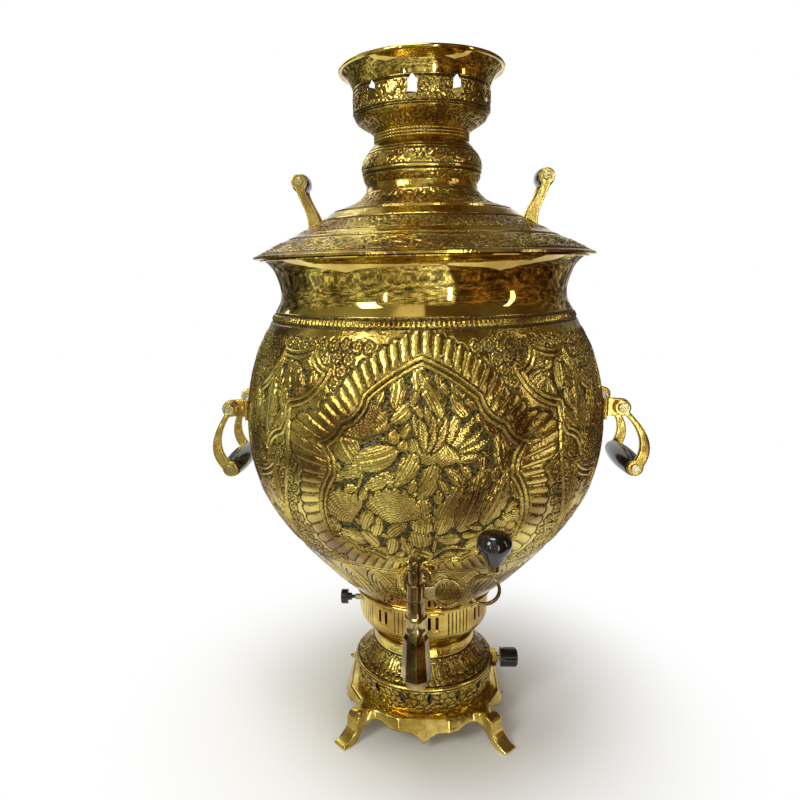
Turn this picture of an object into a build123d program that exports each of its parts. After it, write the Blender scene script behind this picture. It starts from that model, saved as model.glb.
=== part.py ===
from build123d import *
import os
from math import cos, hypot, radians, sin

# A free-standing brass gas samovar. Millimetres, +Z up, the origin on the floor under the middle of the
# foot, and the tap in front at -Y. Every piece that comes apart on a bench is a solid of its own.

# Sheet and fits
sheet = 1.2                 # spun brass sheet of foot, lid and crown
tank_sheet = 1.5            # sheet of the water tank
running_fit = 0.05          # radial clearance of a pin that turns in its hole
lift_gap = 0.2              # under a piece that lifts off

# Plinth: a square casting on four legs
plinth_height = 31.0
plate_thickness = 4.0
plate_tongue = 81.0         # from the axis to the middle of each side
tongue_half_width = 26.0
plate_notch = 68.0          # from the axis to the notch beside each tongue
notch_half_width = 51.0
plate_corner = 70.5
plate_bore = 52.0
apron_flare = 13.0          # how far the apron leans out, from the plate to the floor
apron_wall = 3.5
pendant_tip = 7.0           # height of the pendant's tip
pendant_shoulder = 17.5
shoulder_half_width = 18.0
arch_top = 22.0
leg_gap_half_width = 62.0
leg_width = 17.0
leg_root = 24.0             # length of the leg's top under the plate
toe_length = 14.0
toe_arch = 22.0             # from the toe back to where the leg leaves the floor
foot_reach = 125.0          # from the axis to the toe, along the diagonal

# Foot: bell, waist ring, vent band, gallery
bell_base_radius = 73.0
bell_radius = 77.0
bell_band_height = 26.0
bell_height = 60.5
waist_radius = 53.0
waist_ring_height = 3.0
waist_ring_proud = 2.5
diamond_count = 16
diamond_turn = 5.0          # the ring of diamonds is turned this far from the front
diamond_width = 8.0
diamond_height = 15.0
band_radius = 70.0
vent_band_height = 48.5
vent_pairs = 8
vent_turn = 8.0
vent_width = 3.2
vent_height = 13.0
vent_spacing = 8.0
bead_radius = 2.2
gallery_bead_proud = 5.0
gallery_ring_bore = 50.0
gallery_height = 22.0
gallery_radius = 97.0
gallery_foot_step = 3.5      # from the vent band out to the gallery's foot
gallery_pleats = 30
pleat_depth = 1.0
foot_screw_radius = 2.0
foot_screw_inset = 10.0     # from the bell's foot in to the screws
foot_screw_nut = 2.0
foot_screw_head = 3.0
foot_flange = 16.0
flange_thickness = 1.5

# Burner and gas line
gas_height = 22.0           # gas axis above the plinth
bridge_width = 14.0
bridge_thickness = 2.5
mixing_radius = 10.0
mixing_wall = 1.5
burner_radius = 40.0
burner_height = 16.0
burner_ports = 24
burner_drop = 36.0          # from the fire tube's foot down to the top of the burner
jet_radius = 3.5
valve_radius = 9.0
valve_length = 26.0
valve_thread_radius = 6.0
valve_stem_radius = 2.5
valve_nut_across = 17.0
gas_knob_radius = 10.5
gas_knob_length = 19.0
gas_knob_gap = 8.5          # from the bell to the back of the knob
pipe_radius = 3.0
pipe_bend = 10.0
spigot_bore = 2.5
spigot_radius = 5.0
spigot_barb = 6.0
spigot_length = 35.0        # outside the bell

# Igniter
igniter_drop = 23.5         # below the tank's foot ring
igniter_tube_radius = 3.2
igniter_body_radius = 5.5
igniter_stem_radius = 2.0
igniter_cap_radius = 8.0
igniter_cap_length = 8.0
igniter_travel = 4.0
igniter_wall = 2.0
igniter_spring_length = 8.0
spring_turns = 6
spring_wire = 0.35
igniter_proud = 22.0        # from the vent band to the face of the cap

# Tank, collar and fire tube
tank_radius = 182.0
tank_height = 275.5
tank_neck_radius = 148.5
collar_waist_radius = 143.0
collar_lip_radius = 161.0
collar_height = 49.5
fire_tube_radius = 55.0
flue_radius = 31.0
flue_wall = 1.5
flue_reach = 63.0           # above the collar's lip, into the crown's neck

# Lid
lid_overhang = 7.6          # past the collar's lip
lid_edge = 2.0
lid_step_radius = 126.6
lid_step_height = 24.0
lid_top_radius = 88.6
lid_height = 43.0
flue_clearance = 3.0
guide_ring_step = 2.0       # outside the collar's waist
guide_ring_height = 13.0
lid_handle_reach = 106.0
lid_handle_lean = 14.0
lid_handle_height = 38.0
lid_handle_half_gap = 13.2
lid_handle_arm = 5.5
lid_boss_radius = 7.6
lid_grip_radius = 9.5
lid_rod_radius = 2.5

# Crown
crown_foot_inset = 0.6      # inside the rim of the lid's flat top
crown_neck_radius = 53.5
crown_bulb_radius = 59.0
crown_waist_radius = 45.5
crown_neck_height = 66.5
crown_bead_count = 3
crown_bead_height = 2.8
crown_band_radius = 66.5
crown_bowl_height = 40.0
crown_slot_count = 10
crown_slot_turn = 7.0
crown_slot_width = 9.0
crown_slot_height = 21.0
crown_rim_radius = 78.0
crown_rim_height = 17.5
crown_lip = 2.0
grate_ring_width = 9.0
grate_hub_radius = 20.0
grate_hole_radius = 12.0
grate_thickness = 3.0
grate_spokes = 6
grate_spoke_width = 5.0
grate_rise = 20.0           # above the crown's beads

# Side handles
handle_height = 347.0
pivot_proud = 10.5          # from the strap's face to the pivot's axis
ear_half_gap = 33.0
ear_thickness = 4.0
ear_radius = 8.5
strap_height = 21.0
strap_proud = 2.5           # outside the widest ring of the tank
strap_depth = 14.0
strap_half_angle = 15.0
pivot_radius = 3.0
pivot_head_radius = 5.0
pivot_head = 2.5
side_gap = 0.3              # between an ear and the arm that swings beside it
arm_thickness = 5.0
arm_boss_radius = 8.0
arm_drop = 63.0
arm_bow = 15.0
arm_lower_reach = 3.0
side_grip_radius = 11.5
side_rod_radius = 2.5
left_rest_swing = 0.0
right_rest_swing = 11.0

# Tap
tap_offset = -6.0           # the tap stands a little to the left of the middle
tap_height = 216.0          # its pipe's axis
tap_bush_radius = 12.0
tap_bush_proud = 15.0       # the bush outside and inside the tank's wall
tap_bush_depth = 17.0
tap_rosette_radius = 24.0
rosette_lobes = 12
tap_seal_thickness = 2.0
tap_radius = 6.5            # pipe from the bush to the plug's housing
tap_bore = 4.0
tap_flange_radius = 11.0
tap_flange = 3.0
tap_length = 59.0           # from the bush's face to the plug's axis
housing_drop = 13.0         # the housing's foot and top, below and above the pipe's axis
housing_rise = 12.0
housing_radius = 6.8
housing_foot_radius = 8.4
housing_ring_radius = 8.8
spout_length = 46.0
spout_top_across = 18.5
spout_foot_across = 23.0
spout_bore = 6.0
plug_radius = 5.0
plug_port = 3.2
plug_flange_radius = 6.5
plug_flange = 1.8
plug_stud_radius = 3.0
plug_ring_radius = 6.0
plug_ring_thickness = 1.4
plug_cap_radius = 5.4
plug_cap_height = 19.0
key_hub_radius = 6.8
key_hub = 14.0
key_thickness = 3.0
key_wire = 2.6
key_loop_radius = 12.2
key_loop_place = (24.4, 20.0)       # from the plug's axis, and above the pipe's
key_second_radius = 13.0
key_second_place = (52.6, 23.0)
key_leaf_place = (38.6, 19.0)
key_leaf = (3.0, 9.5)               # half width and half length of the leaf between the loops
key_stem_radius = 2.4
knob_place = (60.0, 57.0)
knob_radius = 13.5
knob_height = 26.0
ferrule_radius = 4.5
ferrule_height = 6.0

# Reaches that follow, from the axis
foot_screw_reach = bell_base_radius - foot_screw_inset
gallery_foot_radius = band_radius + gallery_foot_step
gas_knob_start = bell_radius + gas_knob_gap
spigot_reach = bell_radius + spigot_length
igniter_reach = band_radius + igniter_proud
lid_radius = collar_lip_radius + lid_overhang
guide_ring_radius = collar_waist_radius + guide_ring_step
crown_foot_radius = lid_top_radius - crown_foot_inset
strap_reach = tank_radius + strap_proud
handle_pivot_reach = strap_reach + pivot_proud

# Heights that follow
bell_top = plinth_height + bell_height
band_foot = bell_top + waist_ring_height
ring_foot = band_foot + vent_band_height
ring_top = ring_foot + 2 * bead_radius
tank_foot = ring_top + gallery_height
tank_top = tank_foot + tank_height
collar_top = tank_top + collar_height
lid_foot = collar_top + lift_gap
lid_top = lid_foot + lid_height
crown_foot = lid_top + lift_gap
beads_foot = crown_foot + crown_neck_height
bowl_foot = beads_foot + crown_bead_count * crown_bead_height
band_top = bowl_foot + crown_bowl_height
crown_top = band_top + crown_rim_height
gas_axis = plinth_height + gas_height
igniter_axis = tank_foot - igniter_drop - gallery_height
bell_shoulder = plinth_height + bell_band_height


def draw_line(runs):
    """Draw runs of (radius, height) points: two points are a straight line, and more are a smooth curve."""
    for run in runs:
        if len(run) == 2:
            Line(*run)
        else:
            Spline(*run)


def inside_of(runs, wall):
    """The same runs one wall further in: each point moves square to the line, with its corners mitred.

    The two end edges are trimmed level, or left square to the sheet where it lies nearly flat.
    """
    points = [run[0] for run in runs[:1]] + [point for run in runs for point in run[1:]]
    moved = []
    for i, (radius, height) in enumerate(points):
        ends = [pair for pair in (points[max(i - 1, 0):i + 1], points[i:i + 2]) if len(pair) == 2]
        ways = [(b[0] - a[0], b[1] - a[1]) for a, b in ends]
        ways = [(dr / hypot(dr, dz), dz / hypot(dr, dz)) for dr, dz in ways]
        mean = (sum(w[0] for w in ways), sum(w[1] for w in ways))
        length = hypot(*mean)
        across = (-mean[1] / length, mean[0] / length)
        mitre = ways[0][0] * mean[0] / length + ways[0][1] * mean[1] / length
        if len(ways) == 1 and ways[0][1] > 0.5:
            moved.append((radius - wall / ways[0][1], height))
        else:
            moved.append((radius + wall * across[0] / mitre, height + wall * across[1] / mitre))
    inner, start = [], 0
    for run in runs:
        inner.append(moved[start:start + len(run)])
        start += len(run) - 1
    return inner


def draw_sheet(runs, wall):
    """Draw the section of a spun sheet: its outer line, the line one wall inside it, and both edges."""
    inner = inside_of(runs, wall)
    with BuildLine() as section:
        draw_line(runs)
        draw_line(inner)
        Line(runs[0][0], inner[0][0])
        Line(runs[-1][-1], inner[-1][-1])
    make_face(section.edges())


def solid_of(runs):
    """The solid that a line sweeps round the axis, used to trim what sits on a spun sheet."""
    with BuildPart(mode=Mode.PRIVATE) as solid:
        with BuildSketch(Plane.XZ):
            with BuildLine():
                draw_line(runs)
                foot, top = runs[0][0], runs[-1][-1]
                Polyline(top, (0, top[1]), (0, foot[1]), foot)
            make_face()
        revolve(axis=Axis.Z)
    return solid.part


def radius_at(runs, height):
    """How far out a line is at a height, to the nearest millimetre."""
    with BuildLine() as line:
        draw_line(runs)
    low, high = 0.0, 1.0
    for _ in range(30):
        middle = (low + high) / 2
        if (line.wire() @ middle).Y < height:
            low = middle
        else:
            high = middle
    return round((line.wire() @ low).X)


def bar(plane, start, end, radius, bore=0):
    """Add a round bar, or a tube, along a plane's normal, from one distance to another."""
    with BuildSketch(plane.offset(start)) as section:
        Circle(radius)
        if bore:
            Circle(bore, mode=Mode.SUBTRACT)
    extrude(section.sketch, amount=end - start)


def drill(plane, start, end, radius):
    """Cut a round hole along a plane's normal."""
    with BuildSketch(plane.offset(start)) as section:
        Circle(radius)
    extrude(section.sketch, amount=end - start, mode=Mode.SUBTRACT)


def ring(inner, outer, foot, top):
    """Add a flat ring round the axis."""
    with BuildSketch(Plane.XY.offset(foot)) as section:
        Circle(outer)
        Circle(inner, mode=Mode.SUBTRACT)
    extrude(section.sketch, amount=top - foot)


def facing(degrees, height):
    """A plane on the axis at a height, whose normal points out at an angle round from the front."""
    turn = radians(degrees)
    return Plane((0, 0, height), x_dir=(cos(turn), sin(turn), 0), z_dir=(sin(turn), -cos(turn), 0))


def save(piece, name):
    """Label a finished piece and write it."""
    piece.label = name
    export_step(piece, f"parts/{name}.step")


os.makedirs("parts", exist_ok=True)

# Outer lines of the spun sheets, from the bottom up
bell_line = [
    [(bell_base_radius, plinth_height), (bell_radius, bell_shoulder)],
    [(bell_radius, bell_shoulder), (bell_radius - 1.0, bell_shoulder + 3.0)],
    [
        (bell_radius - 1.0, bell_shoulder + 3.0),
        (waist_radius + 12.0, bell_shoulder + 12.0),
        (waist_radius + 3.5, bell_shoulder + 23.0),
        (waist_radius, bell_top),
    ],
]
band_shoulder = band_foot + 0.45 * vent_band_height
band_line = [
    [
        (waist_radius, band_foot),
        (waist_radius + 6.0, band_foot + 0.16 * vent_band_height),
        (band_radius - 2.0, band_foot + 0.34 * vent_band_height),
        (band_radius, band_shoulder),
    ],
    [(band_radius, band_shoulder), (band_radius, ring_foot)],
]
gallery_line = [[(gallery_foot_radius, ring_top), (gallery_radius, tank_foot)]]
tank_line = [
    [
        (gallery_radius, tank_foot),
        (0.725 * tank_radius, tank_foot + 0.138 * tank_height),
        (0.890 * tank_radius, tank_foot + 0.290 * tank_height),
        (tank_radius, tank_foot + 0.584 * tank_height),
        (0.918 * tank_radius, tank_foot + 0.864 * tank_height),
        (tank_neck_radius, tank_top),
    ],
]
collar_line = [
    [
        (tank_neck_radius, tank_top),
        (collar_waist_radius + 1.2, tank_top + 0.16 * collar_height),
        (collar_waist_radius, tank_top + 0.36 * collar_height),
        (collar_waist_radius + 3.0, tank_top + 0.62 * collar_height),
        (collar_waist_radius + 9.0, tank_top + 0.86 * collar_height),
        (collar_lip_radius, collar_top),
    ],
]
lid_step = lid_foot + lid_step_height
lid_line = [
    [(lid_radius, lid_foot), (lid_radius, lid_foot + lid_edge)],
    [(lid_radius, lid_foot + lid_edge), (lid_step_radius + 2.0, lid_step - 2.5)],
    [(lid_step_radius + 2.0, lid_step - 2.5), (lid_step_radius - 2.0, lid_step)],
    [
        (lid_step_radius - 2.0, lid_step),
        (0.5 * (lid_step_radius + lid_top_radius), lid_step + 0.42 * (lid_top - lid_step)),
        (lid_top_radius + 3.0, lid_top),
    ],
    [(lid_top_radius + 3.0, lid_top), (flue_radius + flue_clearance, lid_top)],
]
neck_line = [
    [(crown_foot_radius, crown_foot), (crown_foot_radius, crown_foot + 2.0)],
    [
        (crown_foot_radius, crown_foot + 2.0),
        (crown_neck_radius + 21.0, crown_foot + 6.0),
        (crown_neck_radius + 8.5, crown_foot + 12.5),
        (crown_neck_radius, crown_foot + 25.5),
    ],
    [
        (crown_neck_radius, crown_foot + 25.5),
        (crown_bulb_radius - 1.0, crown_foot + 34.0),
        (crown_bulb_radius, crown_foot + 44.0),
        (crown_bulb_radius - 5.0, crown_foot + 56.0),
        (crown_waist_radius, beads_foot),
    ],
]
bowl_shoulder = bowl_foot + 0.45 * crown_bowl_height
bowl_line = [
    [
        (crown_waist_radius, bowl_foot),
        (crown_waist_radius + 9.0, bowl_foot + 0.16 * crown_bowl_height),
        (crown_band_radius - 2.5, bowl_foot + 0.33 * crown_bowl_height),
        (crown_band_radius, bowl_shoulder),
    ],
    [(crown_band_radius, bowl_shoulder), (crown_band_radius, band_top)],
]
rim_line = [
    [
        (crown_band_radius, band_top),
        (crown_band_radius + 3.0, band_top + 0.45 * crown_rim_height),
        (crown_rim_radius, crown_top),
    ],
]
tank_solid = solid_of(tank_line)
tank_inside = solid_of(inside_of(tank_line, tank_sheet))
lid_solid = solid_of(lid_line)
bell_solid = solid_of(bell_line)


# --- Plinth: one casting, with a pendant apron on each side and a leg at each corner ---
def plan_corners(flare):
    """The plinth's outline in plan, leaned out by a flare, as corners in order round the axis."""
    side = [
        (-plate_corner - flare, -plate_corner - flare),
        (-notch_half_width, -plate_notch - flare),
        (-tongue_half_width, -plate_tongue - flare),
        (tongue_half_width, -plate_tongue - flare),
        (notch_half_width, -plate_notch - flare),
    ]
    turned = []
    for quarter in range(4):
        c, s = round(cos(radians(90 * quarter))), round(sin(radians(90 * quarter)))
        turned += [(c * x - s * y, s * x + c * y) for x, y in side]
    return turned


def draw_apron_gap():
    """Draw what is open below one side's apron: an arch beside each leg, and a pointed pendant between."""
    half = [
        [(leg_gap_half_width, -1.0), (leg_gap_half_width, arch_top - 6.0)],
        [
            (leg_gap_half_width, arch_top - 6.0),
            (notch_half_width + 4.0, arch_top - 1.0),
            (notch_half_width - 5.0, arch_top - 0.6),
            (2 * shoulder_half_width, pendant_shoulder),
        ],
        [(2 * shoulder_half_width, pendant_shoulder), (shoulder_half_width, pendant_shoulder)],
        [
            (shoulder_half_width, pendant_shoulder),
            (0.45 * shoulder_half_width, pendant_shoulder - 3.5),
            (0.0, pendant_tip),
        ],
    ]
    with BuildLine() as edge:
        for side in (1, -1):
            draw_line([[(side * x, z) for x, z in run] for run in half])
        Line((-leg_gap_half_width, -1.0), (leg_gap_half_width, -1.0))
    make_face(edge.edges())


with BuildPart() as plinth:
    with BuildSketch(Plane.XY.offset(plinth_height)):
        Polygon(*plan_corners(0), align=None)
    with BuildSketch(Plane.XY):
        Polygon(*plan_corners(apron_flare), align=None)
    loft(ruled=True)
    with BuildSketch(Plane.XY.offset(plinth_height - plate_thickness)):
        Polygon(*plan_corners(-apron_wall), align=None)
    with BuildSketch(Plane.XY.offset(-1)):
        Polygon(*plan_corners(apron_flare - apron_wall), align=None)
    loft(ruled=True, mode=Mode.SUBTRACT)
    for gap_plane in (Plane.XZ, Plane.YZ):
        with BuildSketch(gap_plane):
            draw_apron_gap()
        extrude(amount=2 * foot_reach, both=True, mode=Mode.SUBTRACT)
    with BuildSketch(Plane.XY.offset(-1)):
        Rectangle(2 * foot_reach, 2 * foot_reach)
        Rectangle(2 * foot_reach, 2 * leg_gap_half_width, mode=Mode.SUBTRACT)
        Rectangle(2 * leg_gap_half_width, 2 * foot_reach, mode=Mode.SUBTRACT)
    extrude(amount=plinth_height - plate_thickness + 1, mode=Mode.SUBTRACT)
    for corner in range(4):
        along = radians(45 + 90 * corner)
        leg_plane = Plane(
            (0, 0, 0),
            x_dir=(cos(along), sin(along), 0),
            z_dir=(sin(along), -cos(along), 0),
        )
        with BuildSketch(leg_plane):
            with BuildLine():
                knee = plate_corner * 2**0.5 - 2.0
                root = knee - leg_root
                Line((root, plinth_height - plate_thickness), (root, plinth_height - 0.5))
                Line((root, plinth_height - 0.5), (knee, plinth_height - 0.5))
                Spline(
                    (knee, plinth_height - 0.5),
                    (knee + 8.0, plinth_height - 7.0),
                    (knee + 9.5, plinth_height - 16.0),
                    (foot_reach - 11.0, 7.5),
                    (foot_reach, 3.0),
                )
                Line((foot_reach, 3.0), (foot_reach - 1.5, 0))
                Line((foot_reach - 1.5, 0), (foot_reach - toe_length, 0))
                Spline(
                    (foot_reach - toe_length, 0),
                    (foot_reach - toe_arch, 6.0),
                    (knee - 6.0, plinth_height - 14.0),
                    (root, plinth_height - plate_thickness),
                )
            make_face()
        extrude(amount=leg_width / 2, both=True)
    drill(Plane.XY, -1, plinth_height + 1, plate_bore)
    with PolarLocations(foot_screw_reach, 4, 45):
        Cylinder(foot_screw_radius, 4 * plinth_height, mode=Mode.SUBTRACT)
save(plinth.part, "plinth")

with BuildPart() as foot_screws:
    for corner in range(4):
        along = radians(45 + 90 * corner)
        spot = (foot_screw_reach * cos(along), foot_screw_reach * sin(along))
        place = Plane((spot[0], spot[1], plinth_height))
        bar(place, -plate_thickness, flange_thickness, foot_screw_radius)
        bar(place, -plate_thickness - foot_screw_nut, -plate_thickness, 1.8 * foot_screw_radius)
        bar(place, flange_thickness, flange_thickness + foot_screw_head, 1.8 * foot_screw_radius)
save(foot_screws.part, "foot_screws")

# --- Foot: the bell with its pierced diamonds, and an inner flange that the screws hold ---
valve_side = 90.0
spigot_side = 180.0
with BuildPart() as foot_bell:
    with BuildSketch(Plane.XZ):
        draw_sheet(bell_line, sheet)
    revolve(axis=Axis.Z)
    flange_top = plinth_height + flange_thickness
    ring(bell_base_radius - foot_flange, bell_base_radius - sheet / 2, plinth_height, flange_top)
    with PolarLocations(foot_screw_reach, 4, 45):
        Cylinder(foot_screw_radius, 4 * plinth_height, mode=Mode.SUBTRACT)
    for step in range(diamond_count):
        angle = step * 360 / diamond_count - diamond_turn
        if min(abs(angle - valve_side), abs(angle - spigot_side)) < 180 / diamond_count:
            continue
        with BuildSketch(facing(angle, gas_axis - 3.0)):
            with BuildLine():
                Polyline(
                    (diamond_width / 2, 0),
                    (0, diamond_height / 2),
                    (-diamond_width / 2, 0),
                    (0, -diamond_height / 2),
                    close=True,
                )
            make_face()
        extrude(amount=bell_radius + 5, mode=Mode.SUBTRACT)
    drill(facing(valve_side, gas_axis), 0, bell_radius + 5, valve_thread_radius)
    drill(facing(spigot_side, gas_axis), 0, bell_radius + 5, spigot_radius)
save(foot_bell.part, "foot_bell")

with BuildPart() as waist_ring:
    with BuildSketch(Plane.XZ):
        with BuildLine():
            inner_edge = waist_radius - 5.0
            bead_edge = waist_radius + waist_ring_proud - waist_ring_height / 2
            Polyline(
                (bead_edge, band_foot),
                (inner_edge, band_foot),
                (inner_edge, bell_top),
                (bead_edge, bell_top),
            )
            ThreePointArc(
                (bead_edge, bell_top),
                (waist_radius + waist_ring_proud, (bell_top + band_foot) / 2),
                (bead_edge, band_foot),
            )
        make_face()
    revolve(axis=Axis.Z)
save(waist_ring.part, "waist_ring")

with BuildPart() as vent_band:
    with BuildSketch(Plane.XZ):
        draw_sheet(band_line, sheet)
    revolve(axis=Axis.Z)
    slot_height = ring_foot - 0.16 * vent_band_height - 2.5
    for pair in range(vent_pairs):
        with BuildSketch(facing(pair * 360 / vent_pairs + vent_turn, slot_height)):
            with GridLocations(vent_spacing, 0, 2, 1):
                SlotOverall(vent_height, vent_width, rotation=90)
        extrude(amount=band_radius + 5, mode=Mode.SUBTRACT)
    drill(facing(-90, igniter_axis), 0, band_radius + 5, igniter_tube_radius)
save(vent_band.part, "vent_band")

with BuildPart() as gallery_ring:
    with BuildSketch(Plane.XZ):
        with BuildLine():
            bead_edge = band_radius + gallery_bead_proud - bead_radius
            Polyline(
                (bead_edge, ring_top),
                (gallery_ring_bore, ring_top),
                (gallery_ring_bore, ring_foot),
                (bead_edge, ring_foot),
            )
            ThreePointArc(
                (bead_edge, ring_foot),
                (bead_edge + bead_radius, (ring_foot + ring_top) / 2),
                (bead_edge, ring_top),
            )
        make_face()
    revolve(axis=Axis.Z)
save(gallery_ring.part, "gallery_ring")

with BuildPart() as gallery_cup:
    with BuildSketch(Plane.XZ):
        draw_sheet(gallery_line, tank_sheet)
    revolve(axis=Axis.Z)
    rise = hypot(gallery_radius - gallery_foot_radius, gallery_height)
    slope = ((gallery_radius - gallery_foot_radius) / rise, gallery_height / rise)
    groove_radius = 5.0
    for pleat in range(gallery_pleats):
        angle = radians((pleat + 0.5) * 360 / gallery_pleats)
        out = (cos(angle), sin(angle))
        lift = groove_radius - pleat_depth
        start = (gallery_foot_radius + lift * slope[1], ring_top - lift * slope[0])
        groove = Plane(
            (start[0] * out[0], start[0] * out[1], start[1]),
            x_dir=(-out[1], out[0], 0),
            z_dir=(slope[0] * out[0], slope[0] * out[1], slope[1]),
        )
        with BuildSketch(groove.offset(-4.0)):
            Circle(groove_radius)
        extrude(amount=rise + 8.0, mode=Mode.SUBTRACT)
save(gallery_cup.part, "gallery_cup")

# --- Burner: a bridge across the bell's foot carries the mixing tube and the burner head ---
burner_foot = ring_top - burner_drop
bridge_top = plinth_height + bridge_thickness
with BuildPart() as burner_bridge:
    with BuildSketch(Plane.XY.offset(plinth_height)):
        SlotOverall(2 * (bell_base_radius - foot_flange) - 1.0, bridge_width, rotation=90)
        Circle(mixing_radius + 3.0)
    extrude(amount=bridge_thickness)
save(burner_bridge.part, "burner_bridge")

with BuildPart() as burner_venturi:
    bar(Plane.XY, bridge_top, bridge_top + 3.0, mixing_radius + 3.0)
    bar(Plane.XY, bridge_top + 3.0, burner_foot, mixing_radius, mixing_radius - mixing_wall)
    drill(facing(valve_side, gas_axis), 0, mixing_radius + 5, jet_radius)
    drill(facing(-valve_side, gas_axis), 0, mixing_radius + 5, jet_radius + 1.5)
save(burner_venturi.part, "burner_venturi")

with BuildPart() as burner_head:
    with BuildSketch(Plane.XZ):
        with BuildLine():
            Polyline(
                (mixing_radius - mixing_wall, burner_foot),
                (mixing_radius + 4.0, burner_foot),
                (burner_radius - 4.0, burner_foot + 0.35 * burner_height),
                (burner_radius - 4.0, burner_foot + 0.65 * burner_height),
                (burner_radius, burner_foot + 0.70 * burner_height),
                (burner_radius, burner_foot + 0.85 * burner_height),
                (burner_radius - 6.0, burner_foot + burner_height),
                (0, burner_foot + burner_height),
                (0, burner_foot + 0.75 * burner_height),
                (mixing_radius - mixing_wall, burner_foot + 0.60 * burner_height),
                close=True,
            )
        make_face()
    revolve(axis=Axis.Z)
    for port in range(burner_ports):
        with BuildSketch(facing(port * 360 / burner_ports, burner_foot + 0.5 * burner_height)):
            Circle(1.2)
        extrude(amount=burner_radius + 5, mode=Mode.SUBTRACT)
save(burner_head.part, "burner_head")

# --- Gas line: spigot at the back, bent pipe, valve at the right, jet into the mixing tube ---
valve_front = bell_radius - 5.5
valve_back = valve_front - valve_length
gas_plane = facing(valve_side, gas_axis)
with BuildPart() as gas_jet:
    bar(gas_plane, mixing_radius - mixing_wall, valve_back, jet_radius, 0.6)
    bar(gas_plane, valve_back - 7.0, valve_back - 2.0, jet_radius + 2.5, jet_radius)
save(gas_jet.part, "gas_jet")

pipe_side = valve_back + valve_length / 2
pipe_cross = mixing_radius + 3.0 + pipe_bend + pipe_radius
spigot_back = bell_radius - 12.0
stem_end = gas_knob_start + 12.0
nut_face = bell_radius + 4.0
with BuildPart() as gas_valve_body:
    bar(gas_plane, valve_back, valve_front, valve_radius, valve_stem_radius + 0.5)
    bar(gas_plane, valve_back, valve_back + 4.0, valve_radius, 0.6)
    bar(gas_plane, valve_front, nut_face + 1.5, valve_thread_radius, valve_stem_radius + running_fit)
    with BuildSketch(Plane.XZ.offset(-valve_radius - 2.0)):
        with Locations((pipe_side, gas_axis)):
            Circle(pipe_radius + 1.5)
    extrude(amount=valve_radius - 3.0)
    with BuildSketch(Plane.XZ.offset(-valve_radius - 3.0)):
        with Locations((pipe_side, gas_axis)):
            Circle(pipe_radius - 1.2)
    extrude(amount=valve_radius + 2.0, mode=Mode.SUBTRACT)
    drill(gas_plane, valve_back + 4.0, valve_front, valve_stem_radius + 0.5)
save(gas_valve_body.part, "gas_valve_body")

with BuildPart() as gas_valve_nut:
    with BuildSketch(gas_plane.offset(bell_radius - 6.0)):
        RegularPolygon(valve_nut_across / 2, 6, major_radius=False)
        Circle(valve_thread_radius, mode=Mode.SUBTRACT)
    extrude(amount=nut_face - bell_radius + 6.0)
    add(bell_solid, mode=Mode.SUBTRACT)
save(gas_valve_nut.part, "gas_valve_nut")

with BuildPart() as gas_valve_stem:
    bar(gas_plane, valve_back + 5.0, stem_end, valve_stem_radius)
save(gas_valve_stem.part, "gas_valve_stem")

with BuildPart() as gas_knob:
    bar(gas_plane, gas_knob_start, gas_knob_start + gas_knob_length, gas_knob_radius)
    outer_rim = gas_knob.faces().sort_by(Axis.X)[-1].edges()
    chamfer(outer_rim, 2.0)
    for flute in range(8):
        turn = radians(45 * flute + 22.5)
        spot = (1.14 * gas_knob_radius * cos(turn), 1.14 * gas_knob_radius * sin(turn))
        with BuildSketch(gas_plane.offset(gas_knob_start + 5.0)):
            with Locations(spot):
                Circle(2.6)
        extrude(amount=gas_knob_length, mode=Mode.SUBTRACT)
    drill(gas_plane, gas_knob_start - 1, stem_end, valve_stem_radius)
save(gas_knob.part, "gas_knob")

with BuildPart() as gas_pipe:
    with BuildLine():
        FilletPolyline(
            (0, spigot_back, gas_axis),
            (0, pipe_cross, gas_axis),
            (pipe_side, pipe_cross, gas_axis),
            (pipe_side, valve_radius + 2.0, gas_axis),
            radius=pipe_bend,
        )
    with BuildSketch(Plane((0, spigot_back, gas_axis), z_dir=(0, -1, 0))):
        Circle(pipe_radius)
    sweep()
save(gas_pipe.part, "gas_pipe")

with BuildPart() as hose_spigot:
    spigot_plane = facing(spigot_side, gas_axis)
    bar(spigot_plane, spigot_back, bell_radius - 1.0, spigot_radius, spigot_bore)
    with BuildSketch(spigot_plane.offset(bell_radius - 6.0)):
        RegularPolygon(spigot_radius + 4.0, 6, major_radius=False)
        Circle(spigot_radius, mode=Mode.SUBTRACT)
    extrude(amount=12.0)
    add(bell_solid, mode=Mode.SUBTRACT)
    bar(spigot_plane, spigot_back, spigot_reach, spigot_radius, spigot_bore)
    for barb in range(3):
        with BuildSketch(spigot_plane.offset(spigot_reach - 7.0 * barb - 5.0)):
            Circle(spigot_barb)
            Circle(spigot_bore, mode=Mode.SUBTRACT)
        extrude(amount=5.0, taper=11)
save(hose_spigot.part, "hose_spigot")

# --- Igniter: a spark unit through the vent band, with a sprung push cap at the left ---
igniter_plane = facing(-90, igniter_axis)
tube_end = igniter_reach - igniter_cap_length - igniter_travel - 4.0
cap_start = igniter_reach - igniter_cap_length
body_back = burner_radius + 6.0
body_front = band_radius - 2.0
stem_start = body_back + igniter_wall + igniter_spring_length
stem_bore = igniter_stem_radius + running_fit
with BuildPart() as igniter_barrel:
    bar(igniter_plane, body_back, body_back + igniter_wall, igniter_body_radius)
    chamber = (body_back + igniter_wall, body_front - igniter_wall)
    bar(igniter_plane, *chamber, igniter_body_radius, igniter_tube_radius)
    bar(igniter_plane, chamber[1], body_front, igniter_body_radius, stem_bore)
    bar(igniter_plane, body_front, tube_end, igniter_tube_radius, stem_bore)
save(igniter_barrel.part, "igniter_barrel")

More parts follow.
